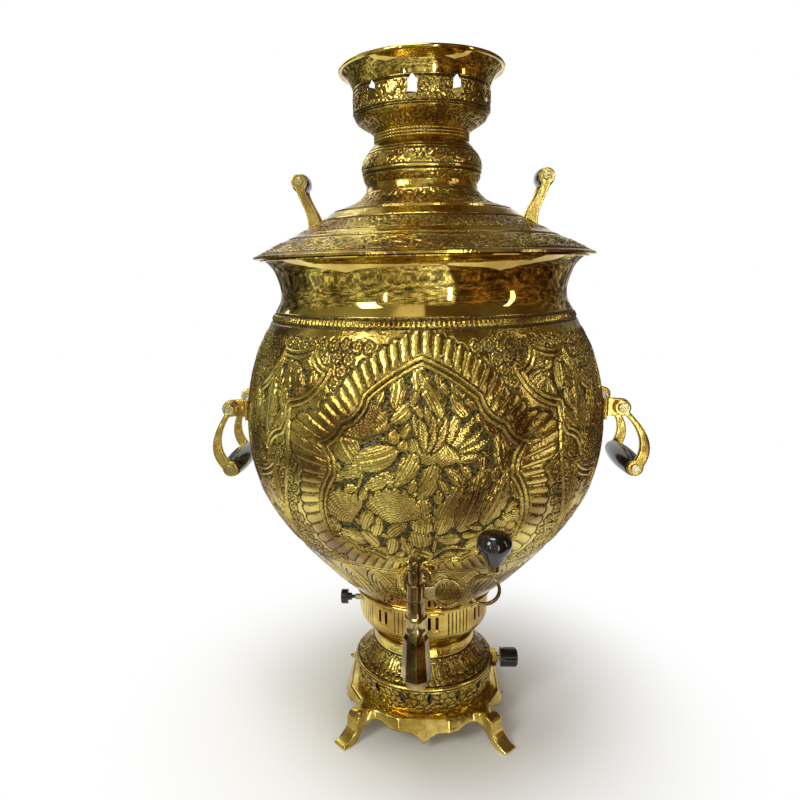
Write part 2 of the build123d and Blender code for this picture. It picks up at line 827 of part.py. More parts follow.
with BuildPart() as igniter_button:
    bar(igniter_plane, stem_start, cap_start, igniter_stem_radius)
    bar(igniter_plane, cap_start - 4.0, cap_start, igniter_stem_radius + 2.0)
    bar(igniter_plane, cap_start, igniter_reach, igniter_cap_radius)
    cap_rims = igniter_button.faces().sort_by(Axis.X)[0].edges()
    fillet(cap_rims, 1.5)
save(igniter_button.part, "igniter_button")

with BuildPart() as igniter_spring:
    spring_start = body_back + igniter_wall + spring_wire
    spring_run = igniter_spring_length - 2 * spring_wire
    coil_radius = igniter_stem_radius - spring_wire
    with BuildLine() as coil:
        Helix(
            spring_run / spring_turns,
            spring_run,
            coil_radius,
            center=(-spring_start, 0, igniter_axis),
            direction=(-1, 0, 0),
        )
    with BuildSketch(Plane(coil.line @ 0, z_dir=coil.line % 0)):
        Circle(spring_wire)
    sweep(is_frenet=True)
save(igniter_spring.part, "igniter_spring")

with BuildPart() as igniter_electrode:
    bar(igniter_plane, burner_radius + 1.0, body_back, 2.2)
    spark_point = burner_foot + burner_height - 1.0
    bar(Plane((-burner_radius - 2.0, 0, spark_point)), 0, igniter_axis - spark_point, 0.8)
save(igniter_electrode.part, "igniter_electrode")

# --- Tank: a hammered ball round a fire tube, closed by a flat bottom and topped by a collar ---
tap_wall = radius_at(tank_line, tap_height)
tap_bush_front = tap_wall + tap_bush_proud
tap_bush_back = tap_wall - tap_bush_depth
tap_reach = tap_bush_front + tap_length
bush_plane = Plane((tap_offset, 0, tap_height), x_dir=(1, 0, 0), z_dir=(0, -1, 0))
with BuildPart() as tank_shell:
    with BuildSketch(Plane.XZ):
        draw_sheet(tank_line, tank_sheet)
    revolve(axis=Axis.Z)
    drill(bush_plane, 0, tank_radius, tap_bush_radius)
save(tank_shell.part, "tank_shell")

with BuildPart() as tank_bottom:
    ring(fire_tube_radius, tank_radius, tank_foot + 1.0, tank_foot + 3.0)
    add(tank_inside, mode=Mode.INTERSECT)
save(tank_bottom.part, "tank_bottom")

flue_top = collar_top + flue_reach
fire_top = tank_foot + 30.0
flue_line = [
    [(fire_tube_radius, ring_top), (fire_tube_radius, fire_top)],
    [
        (fire_tube_radius, fire_top),
        (fire_tube_radius - 3.0, fire_top + 22.0),
        (flue_radius + 4.0, fire_top + 60.0),
        (flue_radius, fire_top + 90.0),
    ],
    [(flue_radius, fire_top + 90.0), (flue_radius, flue_top)],
]
with BuildPart() as flue_tube:
    with BuildSketch(Plane.XZ):
        draw_sheet(flue_line, flue_wall)
    revolve(axis=Axis.Z)
save(flue_tube.part, "flue_tube")

with BuildPart() as collar:
    with BuildSketch(Plane.XZ):
        draw_sheet(collar_line, tank_sheet)
        with BuildLine():
            Polyline(
                (tank_neck_radius - tank_sheet - 3.0, tank_top),
                (tank_neck_radius - 0.5, tank_top),
                (tank_neck_radius - 2.0, tank_top + 3.0),
                (tank_neck_radius - tank_sheet - 3.0, tank_top + 3.0),
                close=True,
            )
        make_face()
    revolve(axis=Axis.Z)
    ring(collar_lip_radius - 3.0, collar_lip_radius + 1.5, collar_top - 2.0, collar_top)
save(collar.part, "collar")

# --- Lid, with a ring below that keeps it centred in the collar ---
with BuildPart() as lid:
    with BuildSketch(Plane.XZ):
        draw_sheet(lid_line, sheet)
        with Locations((guide_ring_radius, lid_foot)):
            Rectangle(lid_radius - guide_ring_radius, lid_edge, align=(Align.MIN, Align.MIN))
    revolve(axis=Axis.Z)
save(lid.part, "lid")

with BuildPart() as lid_guide_ring:
    ring(guide_ring_radius - sheet, guide_ring_radius, lid_foot - guide_ring_height, lid_foot + lid_edge)
save(lid_guide_ring.part, "lid_guide_ring")

for side, name in ((-1, "left"), (1, "right")):
    lid_boss = (lid_handle_reach + lid_handle_lean, lid_foot + lid_step_height + 50.5)
    boss_plane = Plane((side * lid_boss[0], 0, lid_boss[1]), x_dir=(side, 0, 0), z_dir=(0, -side, 0))
    with BuildPart() as lid_handle_arms:
        for arm_start in (lid_handle_half_gap, -lid_handle_half_gap - lid_handle_arm):
            with BuildSketch(boss_plane.offset(arm_start)):
                Circle(lid_boss_radius)
                with BuildLine():
                    ankle, root = -lid_handle_height + 4.0, -lid_handle_height - 10.0
                    Line((-4.5, 2.0), (4.8, -2.0))
                    Spline((4.8, -2.0), (-1.0, -18.0), (-7.0, ankle), (-7.0, root))
                    Line((-7.0, root), (-19.0, root))
                    Spline((-19.0, root), (-17.0, ankle), (-9.0, -18.0), (-4.5, 2.0))
                make_face()
                Circle(lid_rod_radius, mode=Mode.SUBTRACT)
            extrude(amount=lid_handle_arm)
        add(lid_solid, mode=Mode.SUBTRACT)
    save(lid_handle_arms.part, f"{name}_lid_handle_arms")
    with BuildPart() as lid_handle_grip:
        with BuildSketch(Plane.XY):
            with BuildLine():
                Polyline(
                    (lid_grip_radius - 1.5, -lid_handle_half_gap),
                    (lid_rod_radius, -lid_handle_half_gap),
                    (lid_rod_radius, lid_handle_half_gap),
                    (lid_grip_radius - 1.5, lid_handle_half_gap),
                )
                ThreePointArc(
                    (lid_grip_radius - 1.5, lid_handle_half_gap),
                    (lid_grip_radius, 0),
                    (lid_grip_radius - 1.5, -lid_handle_half_gap),
                )
            make_face()
        revolve(axis=Axis.Y)
    grip = lid_handle_grip.part.moved(Location((side * lid_boss[0], 0, lid_boss[1])))
    save(grip, f"{name}_lid_handle_grip")
    with BuildPart() as lid_handle_rod:
        rod_end = lid_handle_half_gap + lid_handle_arm
        bar(boss_plane, -rod_end, rod_end, lid_rod_radius)
        bar(boss_plane, rod_end, rod_end + 2.0, lid_rod_radius + 1.5)
        bar(boss_plane, -rod_end - 2.0, -rod_end, lid_rod_radius + 1.5)
    save(lid_handle_rod.part, f"{name}_lid_handle_rod")

# --- Crown: neck, beads, slotted bowl and flared rim, with a grate that the teapot stands on ---
with BuildPart() as crown_neck:
    with BuildSketch(Plane.XZ):
        draw_sheet(neck_line, sheet)
        with Locations((crown_foot_radius - sheet / 2, crown_foot)):
            Rectangle(14.0, 2.0, align=(Align.MAX, Align.MIN))
    revolve(axis=Axis.Z)
save(crown_neck.part, "crown_neck")

with BuildPart() as crown_beads:
    for bead in range(crown_bead_count):
        low = beads_foot + bead * crown_bead_height
        with BuildSketch(Plane.XZ):
            with BuildLine():
                bead_base = crown_waist_radius
                Polyline(
                    (bead_base, low + crown_bead_height),
                    (bead_base - 3.0, low + crown_bead_height),
                    (bead_base - 3.0, low),
                    (bead_base, low),
                )
                ThreePointArc(
                    (bead_base, low),
                    (bead_base + crown_bead_height / 2, low + crown_bead_height / 2),
                    (bead_base, low + crown_bead_height),
                )
            make_face()
    revolve(axis=Axis.Z)
save(crown_beads.part, "crown_beads")

with BuildPart() as crown_bowl:
    with BuildSketch(Plane.XZ):
        draw_sheet(bowl_line, sheet)
    revolve(axis=Axis.Z)
    slot_middle = (bowl_shoulder + band_top) / 2
    for slot in range(crown_slot_count):
        with BuildSketch(facing(slot * 360 / crown_slot_count - crown_slot_turn, slot_middle)):
            with BuildLine():
                body_half = crown_slot_height / 2 - 4.5
                Polyline(
                    (crown_slot_width / 2, body_half),
                    (1.6, body_half + 1.5),
                    (0, crown_slot_height / 2),
                    (-1.6, body_half + 1.5),
                    (-crown_slot_width / 2, body_half),
                    (-crown_slot_width / 2, -body_half),
                    (-1.6, -body_half - 1.5),
                    (0, -crown_slot_height / 2),
                    (1.6, -body_half - 1.5),
                    (crown_slot_width / 2, -body_half),
                    close=True,
                )
            make_face()
        extrude(amount=crown_band_radius + 5, mode=Mode.SUBTRACT)
save(crown_bowl.part, "crown_bowl")

with BuildPart() as crown_rim:
    with BuildSketch(Plane.XZ):
        draw_sheet(rim_line, sheet)
        with Locations((crown_rim_radius, crown_top)):
            Circle(crown_lip)
    revolve(axis=Axis.Z)
save(crown_rim.part, "crown_rim")

grate_foot = bowl_foot + grate_rise
grate_radius = crown_band_radius - sheet
with BuildPart() as teapot_grate:
    ring(grate_radius - grate_ring_width, grate_radius, grate_foot, grate_foot + grate_thickness)
    ring(grate_hole_radius, grate_hub_radius, grate_foot, grate_foot + grate_thickness)
    with BuildSketch(Plane.XY.offset(grate_foot)):
        with PolarLocations((grate_radius + grate_hub_radius) / 2 - 3.0, grate_spokes):
            Rectangle(grate_radius - grate_hub_radius - grate_ring_width + 6.0, grate_spoke_width)
    extrude(amount=grate_thickness)
save(teapot_grate.part, "teapot_grate")

# --- Side handles: a bracket strap with two ears, two bowed arms on pivot screws, a barrel grip between ---
arm_start = ear_half_gap + ear_thickness + side_gap
ear_root = -pivot_proud - 8.0
arm_end = arm_start + arm_thickness
for side, name, rest_swing in ((-1, "left", left_rest_swing), (1, "right", right_rest_swing)):
    ear_place = (side * handle_pivot_reach, 0, handle_height)
    ear_plane = Plane(ear_place, x_dir=(side, 0, 0), z_dir=(0, -side, 0))
    with BuildPart() as handle_bracket:
        with BuildSketch(Plane.XZ):
            with Locations((strap_reach, handle_height)):
                Rectangle(strap_depth, strap_height, align=(Align.MAX, Align.CENTER))
        revolve(axis=Axis.Z, revolution_arc=2 * strap_half_angle)
        strap = handle_bracket.part.rotate(Axis.Z, -strap_half_angle + (180 if side < 0 else 0))
    with BuildPart() as handle_ears:
        add(strap)
        for ear_start in (ear_half_gap, -ear_half_gap - ear_thickness):
            with BuildSketch(ear_plane.offset(ear_start)):
                Circle(ear_radius)
                with BuildLine():
                    Polyline(
                        (0, ear_radius),
                        (ear_root, strap_height / 2 - 1.0),
                        (ear_root, -strap_height / 2 + 1.0),
                        (0, -ear_radius),
                        close=True,
                    )
                make_face()
            extrude(amount=ear_thickness)
        add(tank_solid, mode=Mode.SUBTRACT)
        drill(ear_plane, -arm_end, arm_end, pivot_radius)
    save(handle_ears.part, f"{name}_handle_bracket")

    with BuildPart() as handle_pivots:
        for way in (1, -1):
            screw_plane = Plane(ear_plane.origin, x_dir=ear_plane.x_dir, z_dir=ear_plane.z_dir * way)
            bar(screw_plane, ear_half_gap, arm_end + side_gap, pivot_radius)
            bar(screw_plane, arm_end + side_gap, arm_end + side_gap + pivot_head, pivot_head_radius)
            bar(screw_plane, ear_half_gap - pivot_head, ear_half_gap, pivot_head_radius)
    save(handle_pivots.part, f"{name}_handle_pivots")

    swing = radians(rest_swing)
    arm_plane = Plane(
        (side * handle_pivot_reach, 0, handle_height),
        x_dir=(side * cos(swing), 0, sin(swing)),
        z_dir=(0, -side, 0),
    )
    with BuildPart() as handle_arms:
        for start in (arm_start, -arm_end):
            with BuildSketch(arm_plane.offset(start)):
                Circle(arm_boss_radius)
                with Locations((arm_lower_reach, -arm_drop)):
                    Circle(arm_boss_radius)
                with BuildLine():
                    outer_foot = (arm_lower_reach + 6.0, -arm_drop - 2.0)
                    inner_foot = (arm_lower_reach - 4.0, -arm_drop + 4.0)
                    outer_bow = (arm_bow + 4.5, -0.55 * arm_drop)
                    inner_bow = (arm_bow - 4.0, -0.6 * arm_drop)
                    Spline((0, 4.0), (arm_bow - 5.0, -12.0), outer_bow, outer_foot)
                    Line(outer_foot, inner_foot)
                    Spline(inner_foot, inner_bow, (arm_bow - 10.0, -14.0), (-4.0, -2.0))
                    Line((-4.0, -2.0), (0, 4.0))
                make_face()
                Circle(pivot_radius + running_fit, mode=Mode.SUBTRACT)
                with Locations((arm_lower_reach, -arm_drop)):
                    Circle(side_rod_radius, mode=Mode.SUBTRACT)
            extrude(amount=arm_thickness)
    save(handle_arms.part, f"{name}_handle_arms")

    grip_place = arm_plane.from_local_coords((arm_lower_reach, -arm_drop, 0))
    with BuildPart() as handle_grip:
        with BuildSketch(Plane.XY):
            with BuildLine():
                Polyline(
                    (side_grip_radius - 2.5, -arm_start),
                    (side_rod_radius, -arm_start),
                    (side_rod_radius, arm_start),
                    (side_grip_radius - 2.5, arm_start),
                )
                ThreePointArc(
                    (side_grip_radius - 2.5, arm_start),
                    (side_grip_radius, 0),
                    (side_grip_radius - 2.5, -arm_start),
                )
            make_face()
        revolve(axis=Axis.Y)
    save(handle_grip.part.moved(Location(grip_place)), f"{name}_handle_grip")

    rod_plane = Plane(grip_place, x_dir=(1, 0, 0), z_dir=(0, -1, 0))
    with BuildPart() as handle_rod:
        bar(rod_plane, -arm_end, arm_end, side_rod_radius)
        bar(rod_plane, arm_end, arm_end + 2.0, side_rod_radius + 2.0)
        bar(rod_plane, -arm_end - 2.0, -arm_end, side_rod_radius + 2.0)
    save(handle_rod.part, f"{name}_handle_rod")

# --- Tap: a bush through the tank wall, a rosette round it, a barrel with a turning plug, and the spout ---
with BuildPart() as tap_bush:
    bar(bush_plane, tap_bush_back, tap_bush_front, tap_bush_radius, tap_radius)
save(tap_bush.part, "tap_bush")

with BuildPart() as tap_rosette:
    with BuildSketch(bush_plane.offset(tap_bush_back - 10.0)):
        Circle(tap_rosette_radius)
    extrude(amount=tap_bush_front - tap_bush_back + 8.0, taper=12)
    for lobe in range(rosette_lobes):
        turn = radians(360 / rosette_lobes * (lobe + 0.5))
        notch_reach = tap_rosette_radius + 1.5
        with BuildSketch(bush_plane.offset(tap_bush_back - 12.0)):
            with Locations((notch_reach * cos(turn), notch_reach * sin(turn))):
                Circle(3.4)
        extrude(amount=60.0, mode=Mode.SUBTRACT)
    drill(bush_plane, 0, tap_bush_front + 5.0, tap_bush_radius)
    add(tank_solid, mode=Mode.SUBTRACT)
save(tap_rosette.part, "tap_rosette")

barrel_start = tap_bush_front + tap_seal_thickness
with BuildPart() as tap_seal:
    bar(bush_plane, tap_bush_front, barrel_start, tap_bush_radius - 1.0, tap_radius)
save(tap_seal.part, "tap_seal")

# The pipe and the plug's upright housing are one casting.
plug_plane = Plane((tap_offset, -tap_reach, tap_height), x_dir=(1, 0, 0), z_dir=(0, 0, 1))
plug_foot = -housing_drop + 3.5
with BuildPart() as tap_barrel:
    bar(bush_plane, tap_bush_back + 2.0, tap_reach, tap_radius)
    bar(bush_plane, barrel_start, barrel_start + tap_flange, tap_flange_radius)
    bar(bush_plane, barrel_start + tap_flange, barrel_start + tap_flange + 2.5, tap_radius + 1.8)
    with BuildSketch(Plane(plug_plane.origin, x_dir=(1, 0, 0), z_dir=(0, -1, 0))):
        with BuildLine():
            Polyline(
                (0, -housing_drop),
                (housing_foot_radius, -housing_drop),
                (housing_foot_radius, -housing_drop + 2.0),
                (housing_foot_radius - 1.0, -housing_drop + 6.0),
                (housing_ring_radius - 0.5, -2.5),
                (housing_ring_radius, -1.5),
                (housing_ring_radius, 0.5),
                (housing_radius + 0.6, 1.5),
                (housing_radius, 6.0),
                (housing_radius, housing_rise),
                (0, housing_rise),
                close=True,
            )
        make_face()
    revolve(axis=Axis(plug_plane.origin, (0, 0, 1)))
    drill(bush_plane, tap_bush_back, tap_reach, tap_bore)
    drill(plug_plane, -housing_drop - 1, housing_rise + 1, plug_radius + running_fit)
    drill(plug_plane, -housing_drop - 1, plug_foot, plug_ring_radius + 0.3)
save(tap_barrel.part, "tap_barrel")

with BuildPart() as tap_spout:
    spout_steps = (
        (housing_drop, spout_top_across / 2 - 2.0),
        (housing_drop + 5.0, spout_top_across / 2),
        (housing_drop + spout_length - 8.0, spout_foot_across / 2),
        (housing_drop + spout_length, spout_foot_across / 2 - 3.5),
    )
    for upper, lower in zip(spout_steps, spout_steps[1:]):
        with BuildSketch(plug_plane.offset(-upper[0])):
            RegularPolygon(upper[1], 8, major_radius=False)
        with BuildSketch(plug_plane.offset(-lower[0])):
            RegularPolygon(lower[1], 8, major_radius=False)
        loft(ruled=True)
    drill(plug_plane, -housing_drop - spout_length - 1.0, -housing_drop + 1.0, spout_bore)
save(tap_spout.part, "tap_spout")

hub_start = housing_rise + 0.2 + plug_flange
cap_start = hub_start + key_hub
with BuildPart() as tap_plug:
    bar(plug_plane, plug_foot - plug_ring_thickness - 0.6, housing_rise + 0.2, plug_radius)
    bar(plug_plane, housing_rise + 0.2, hub_start, plug_flange_radius)
    bar(plug_plane, hub_start, cap_start + plug_cap_height - 6.0, plug_stud_radius)
    drill(plug_plane, -housing_drop, 2.0, plug_port)
    drill(Plane(plug_plane.origin, z_dir=(-1, 0, 0)), 0, plug_radius + 1.0, plug_port)
save(tap_plug.part, "tap_plug")

with BuildPart() as tap_plug_ring:
    bar(plug_plane, plug_foot - plug_ring_thickness - 0.1, plug_foot - 0.1, plug_ring_radius, plug_radius)
save(tap_plug_ring.part, "tap_plug_ring")

with BuildPart() as tap_plug_cap:
    bar(plug_plane, cap_start, cap_start + plug_cap_height, plug_cap_radius)
    fillet(tap_plug_cap.faces().sort_by(Axis.Z)[-1].edges(), 2.5)
    with BuildSketch(plug_plane.offset(cap_start + plug_cap_height / 2 + 1.0)) as groove:
        Circle(plug_cap_radius + 1.0)
        Circle(plug_cap_radius - 0.8, mode=Mode.SUBTRACT)
    extrude(groove.sketch, amount=1.2, mode=Mode.SUBTRACT)
    drill(plug_plane, cap_start, cap_start + plug_cap_height - 6.0, plug_stud_radius)
save(tap_plug_cap.part, "tap_plug_cap")

# The key's plate stands upright on its hub. Its points are measured out from the plug and up from the pipe.
key_face = Plane((tap_offset, -tap_reach, tap_height), x_dir=(1, 0, 0), z_dir=(0, -1, 0))
knob_foot = knob_place[1] - knob_height / 2 - ferrule_height
stem_foot = (key_second_place[0] + 3.0, key_second_place[1] + key_second_radius - 2.0)
knob_plane = Plane((tap_offset + knob_place[0], -tap_reach, tap_height + knob_foot))
with BuildPart() as tap_key:
    bar(plug_plane, hub_start, cap_start, key_hub_radius)
    with BuildSketch(key_face.offset(-key_thickness / 2)):
        for place, radius in ((key_loop_place, key_loop_radius), (key_second_place, key_second_radius)):
            with Locations(place):
                Circle(radius)
                Circle(radius - key_wire, mode=Mode.SUBTRACT)
        with Locations(key_leaf_place):
            Ellipse(*key_leaf)
        root_end = key_loop_place[0] - key_loop_radius + key_wire / 2
        with Locations((root_end / 2 + 1.0, key_loop_place[1])):
            Rectangle(root_end - 2.0, key_hub - 4.0)
        with BuildLine():
            Polyline(
                (stem_foot[0] - 3.0, stem_foot[1]),
                (stem_foot[0] + 4.0, stem_foot[1] - 1.5),
                (knob_place[0] + key_stem_radius, knob_foot + 1.0),
                (knob_place[0] - key_stem_radius, knob_foot + 1.0),
                close=True,
            )
        make_face()
    extrude(amount=key_thickness)
    bar(knob_plane, 0, ferrule_height + 8.0, key_stem_radius)
    drill(plug_plane, hub_start - 1.0, cap_start + 1.0, plug_stud_radius)
save(tap_key.part, "tap_key")

with BuildPart() as tap_knob_ferrule:
    bar(knob_plane, 1.0, ferrule_height, ferrule_radius, key_stem_radius)
save(tap_knob_ferrule.part, "tap_knob_ferrule")

with BuildPart() as tap_knob:
    with BuildSketch(Plane.XZ):
        with BuildLine():
            foot_z = ferrule_height
            Line((0, foot_z), (5.0, foot_z))
            Spline(
                (5.0, foot_z),
                (0.70 * knob_radius, foot_z + 0.30 * knob_height),
                (knob_radius, foot_z + 0.66 * knob_height),
                (0.72 * knob_radius, foot_z + 0.94 * knob_height),
                (0, foot_z + knob_height),
                tangents=((0.6, 1), (-1, 0)),
            )
            Line((0, foot_z + knob_height), (0, foot_z))
        make_face()
    revolve(axis=Axis.Z)
    drill(Plane.XY, 0, ferrule_height + 8.0, key_stem_radius)
save(tap_knob.part.moved(Location(knob_plane.origin)), "tap_knob")
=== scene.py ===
from copy import copy
from functools import partial
from math import atan2, cos, hypot, pi, radians, sin, tau

import bmesh
import bpy
import numpy as np
from mathutils import Matrix, Vector


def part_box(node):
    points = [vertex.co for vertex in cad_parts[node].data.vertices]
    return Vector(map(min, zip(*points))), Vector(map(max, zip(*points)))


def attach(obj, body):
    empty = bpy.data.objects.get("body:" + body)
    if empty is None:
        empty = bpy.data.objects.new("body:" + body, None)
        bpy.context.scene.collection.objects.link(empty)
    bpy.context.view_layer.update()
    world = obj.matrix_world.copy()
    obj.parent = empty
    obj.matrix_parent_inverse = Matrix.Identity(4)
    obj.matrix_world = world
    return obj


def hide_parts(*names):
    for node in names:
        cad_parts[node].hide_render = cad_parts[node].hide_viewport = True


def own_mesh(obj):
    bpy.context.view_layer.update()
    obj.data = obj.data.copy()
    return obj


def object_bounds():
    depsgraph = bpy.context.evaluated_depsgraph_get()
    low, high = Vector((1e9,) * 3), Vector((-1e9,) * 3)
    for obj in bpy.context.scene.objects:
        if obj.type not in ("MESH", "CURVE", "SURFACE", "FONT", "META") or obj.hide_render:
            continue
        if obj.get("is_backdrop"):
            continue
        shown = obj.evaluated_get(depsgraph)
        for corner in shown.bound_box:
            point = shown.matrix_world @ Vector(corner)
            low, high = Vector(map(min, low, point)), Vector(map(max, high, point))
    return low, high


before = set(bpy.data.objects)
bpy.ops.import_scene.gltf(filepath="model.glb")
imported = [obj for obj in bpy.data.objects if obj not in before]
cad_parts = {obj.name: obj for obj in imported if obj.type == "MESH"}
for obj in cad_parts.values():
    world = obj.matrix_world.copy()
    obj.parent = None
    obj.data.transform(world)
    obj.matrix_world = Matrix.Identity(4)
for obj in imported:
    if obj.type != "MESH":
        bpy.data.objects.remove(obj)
cad_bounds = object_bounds()

# Camera
# It stands a little under half a metre up, 0.7 m in front of the samovar's axis, and looks slightly down.
camera = bpy.data.objects.new("camera", bpy.data.cameras.new("camera"))
bpy.context.scene.collection.objects.link(camera)
bpy.context.scene.camera = camera
bpy.context.scene.view_settings.view_transform = "Standard"
camera.location = (0.0, -0.7, 0.48)
camera_turn = Matrix.Rotation(radians(3.86), 3, "Z")
camera_tilt = Matrix.Rotation(radians(79.3), 3, "X")
camera_roll = Matrix.Rotation(radians(-0.98), 3, "Z")
camera.rotation_euler = (camera_turn @ camera_tilt @ camera_roll).to_euler()
camera.data.sensor_width = 36.0
camera.data.lens = 30.33
camera.data.shift_x = 0.0276
camera.data.shift_y = 0.0008


# Studio
# A pale floor that sweeps up behind the samovar, in a room for the brass to mirror: its left and front are
# bright, its right is dim, and a skylight runs overhead. Soft boxes stand at both sides, above and behind.


def colour(hex_code):
    """An sRGB hex colour as linear RGBA."""
    parts = [int(hex_code[i:i + 2], 16) / 255 for i in (1, 3, 5)]
    return (*[c / 12.92 if c <= 0.04045 else ((c + 0.055) / 1.055) ** 2.4 for c in parts], 1.0)


def add_node(tree, kind, sockets=None, stops=(), **settings):
    """Add a shader node. settings are its own. sockets take values, links, or a node for its first output.
    stops are a ramp's places and colours."""
    node = tree.nodes.new("ShaderNode" + kind)
    for name, value in settings.items():
        setattr(node, name, value)
    for number, (place, tone) in enumerate(stops):
        if number >= len(node.color_ramp.elements):
            node.color_ramp.elements.new(1.0)
        node.color_ramp.elements[number].position = place
        node.color_ramp.elements[number].color = colour(tone)
    for name, value in (sockets or {}).items():
        if isinstance(value, bpy.types.Node):
            value = value.outputs[0]
        if isinstance(value, bpy.types.NodeSocket):
            tree.links.new(value, node.inputs[name])
        else:
            node.inputs[name].default_value = value
    return node


def new_material(name):
    """An empty node material, and what adds nodes to it."""
    material = bpy.data.materials.new(name)
    material.use_nodes = True
    material.node_tree.nodes.clear()
    return material, partial(add_node, material.node_tree)


def make_object(name, shape, sharp=None):
    """Turn a bmesh into an object. It is smooth, but for edges sharper than the given angle."""
    mesh = bpy.data.meshes.new(name)
    shape.to_mesh(mesh)
    shape.free()
    mesh.shade_smooth()
    if sharp is not None:
        mesh.set_sharp_from_angle(angle=radians(sharp))
    piece = bpy.data.objects.new(name, mesh)
    bpy.context.scene.collection.objects.link(piece)
    return piece


floor_half_width = 0.62
floor_front = -0.35
sweep_start = 0.9
sweep_radius = 0.7
sweep_steps = 12
sweep_top = 1.3

shape = bmesh.new()
floor_line = [(floor_front, 0.0)]
for step in range(sweep_steps + 1):
    angle = step / sweep_steps * pi / 2
    floor_line.append((sweep_start + sweep_radius * sin(angle), sweep_radius * (1 - cos(angle))))
floor_line.append((sweep_start + sweep_radius, sweep_top))
verts = [shape.verts.new((-floor_half_width, y, z)) for y, z in floor_line]
edges = [shape.edges.new(pair) for pair in zip(verts, verts[1:])]
wide = bmesh.ops.extrude_edge_only(shape, edges=edges)["geom"]
moved = [item for item in wide if isinstance(item, bmesh.types.BMVert)]
bmesh.ops.translate(shape, verts=moved, vec=(2 * floor_half_width, 0, 0))
for face in shape.faces:
    if face.normal.z < 0 or face.normal.y > 0.5:
        face.normal_flip()
backdrop = make_object("backdrop", shape)
backdrop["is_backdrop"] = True

# Matt seamless paper: pale, with the samovar's shadow on it, and pure white further out where it is seen
# straight, mirrored or through glass
material, add = new_material("seamless_paper")
place = add("TexCoord").outputs["Object"]
paper = add("BsdfDiffuse", {"Color": colour("#EDEDEB")})
lit = add("Emission", {"Color": colour("#FFFFFF"), "Strength": 1.0})
rays = add("LightPath")
seen = add("Math", {0: rays.outputs["Is Camera Ray"], 1: rays.outputs["Is Glossy Ray"]}, operation="MAXIMUM")
seen = add("Math", {0: seen, 1: rays.outputs["Is Transmission Ray"]}, operation="MAXIMUM")
far = add("VectorMath", {0: place}, operation="LENGTH")
far = add("MapRange", {"Value": far.outputs["Value"], "From Min": 0.05, "From Max": 0.36},
          interpolation_type="SMOOTHSTEP")
amount = add("Math", {0: seen, 1: far}, operation="MULTIPLY")
mixed = add("MixShader", {"Fac": amount, 1: paper, 2: lit})
add("OutputMaterial", {"Surface": mixed})
backdrop.data.materials.append(material)

world = bpy.data.worlds.new("studio")
bpy.context.scene.world = world
world.use_nodes = True
world.node_tree.nodes.clear()
add = partial(add_node, world.node_tree)
way = add("TexCoord").outputs["Generated"]
parts = add("SeparateXYZ", {"Vector": way})
minus_y = add("Math", {0: parts.outputs["Y"], 1: -1.0}, operation="MULTIPLY")
around = add("Math", {0: parts.outputs["X"], 1: minus_y}, operation="ARCTAN2")
turned = add("MapRange", {"Value": around, "From Min": -pi, "From Max": pi})
# From straight behind (0) through the left, the front (0.5) and the right to behind again: one wall is
# bright as far as a little past the front, and the next is dim
walls = add("ValToRGB", {"Fac": turned}, stops=[
    (0.00, "#CBC9BE"), (0.10, "#7F7D72"), (0.17, "#5E5C50"), (0.215, "#A4A48E"), (0.25, "#F2F4E0"),
    (0.30, "#A8A890"), (0.36, "#D4D4BC"), (0.40, "#C4C2AA"), (0.43, "#F2F0DA"), (0.47, "#D2CFB8"),
    (0.50, "#FFFCEC"), (0.565, "#FFFCEC"), (0.575, "#5E4A36"), (0.62, "#A87E50"), (0.66, "#5A4430"),
    (0.70, "#8C6846"), (0.75, "#987450"), (0.81, "#5C4834"), (1.00, "#CBC9BE")])
# The walls are shelves and windows of many brightnesses
grid = add("CombineXYZ", {"X": turned, "Y": parts.outputs["Z"]})
windows = add("TexBrick", {
    "Vector": grid, "Color1": colour("#6A6A6A"), "Color2": colour("#FFFFFF"), "Mortar": colour("#3A3A3A"),
    "Scale": 1.0, "Mortar Size": 0.0012, "Mortar Smooth": 0.2, "Brick Width": 0.011, "Row Height": 0.05})
blur = add("TexNoise", {"Vector": way, "Scale": 7.0, "Detail": 6.0, "Roughness": 0.65})
shade = add("MapRange", {"Value": blur, "From Min": 0.38, "From Max": 0.6, "To Min": 0.55, "To Max": 2.3})
glazed = add("VectorMath", {0: walls, 1: windows}, operation="MULTIPLY")
shelves = add("VectorMath", {0: glazed, "Scale": shade}, operation="SCALE")
# The skylight runs from front to back, a little to the left, between dark ceilings
across = add("MapRange", {"Value": parts.outputs["X"], "From Min": -1.0, "From Max": 1.0})
skylight = add("ValToRGB", {"Fac": across}, stops=[
    (0.00, "#8E8C76"), (0.22, "#9C9A82"), (0.34, "#B0AE94"), (0.38, "#FFFCEA"), (0.505, "#FFFCEA"),
    (0.52, "#6E5C46"), (0.75, "#5E5040"), (1.00, "#564838")])
lift = add("MapRange", {"Value": parts.outputs["Z"], "From Min": 0.35, "From Max": 0.6})
ceiling = add("Mix", {"Factor": lift, "A": shelves, "B": skylight}, data_type="RGBA").outputs["Result"]
rays = add("LightPath")
seen = add("Mix", {"Factor": rays.outputs["Is Camera Ray"], "A": ceiling, "B": colour("#FFFFFF")},
           data_type="RGBA").outputs["Result"]
background = add("Background", {"Color": seen, "Strength": 1.0})
add("OutputWorld", {"Surface": background})

lights_aim = Vector((0, 0, 0.33))
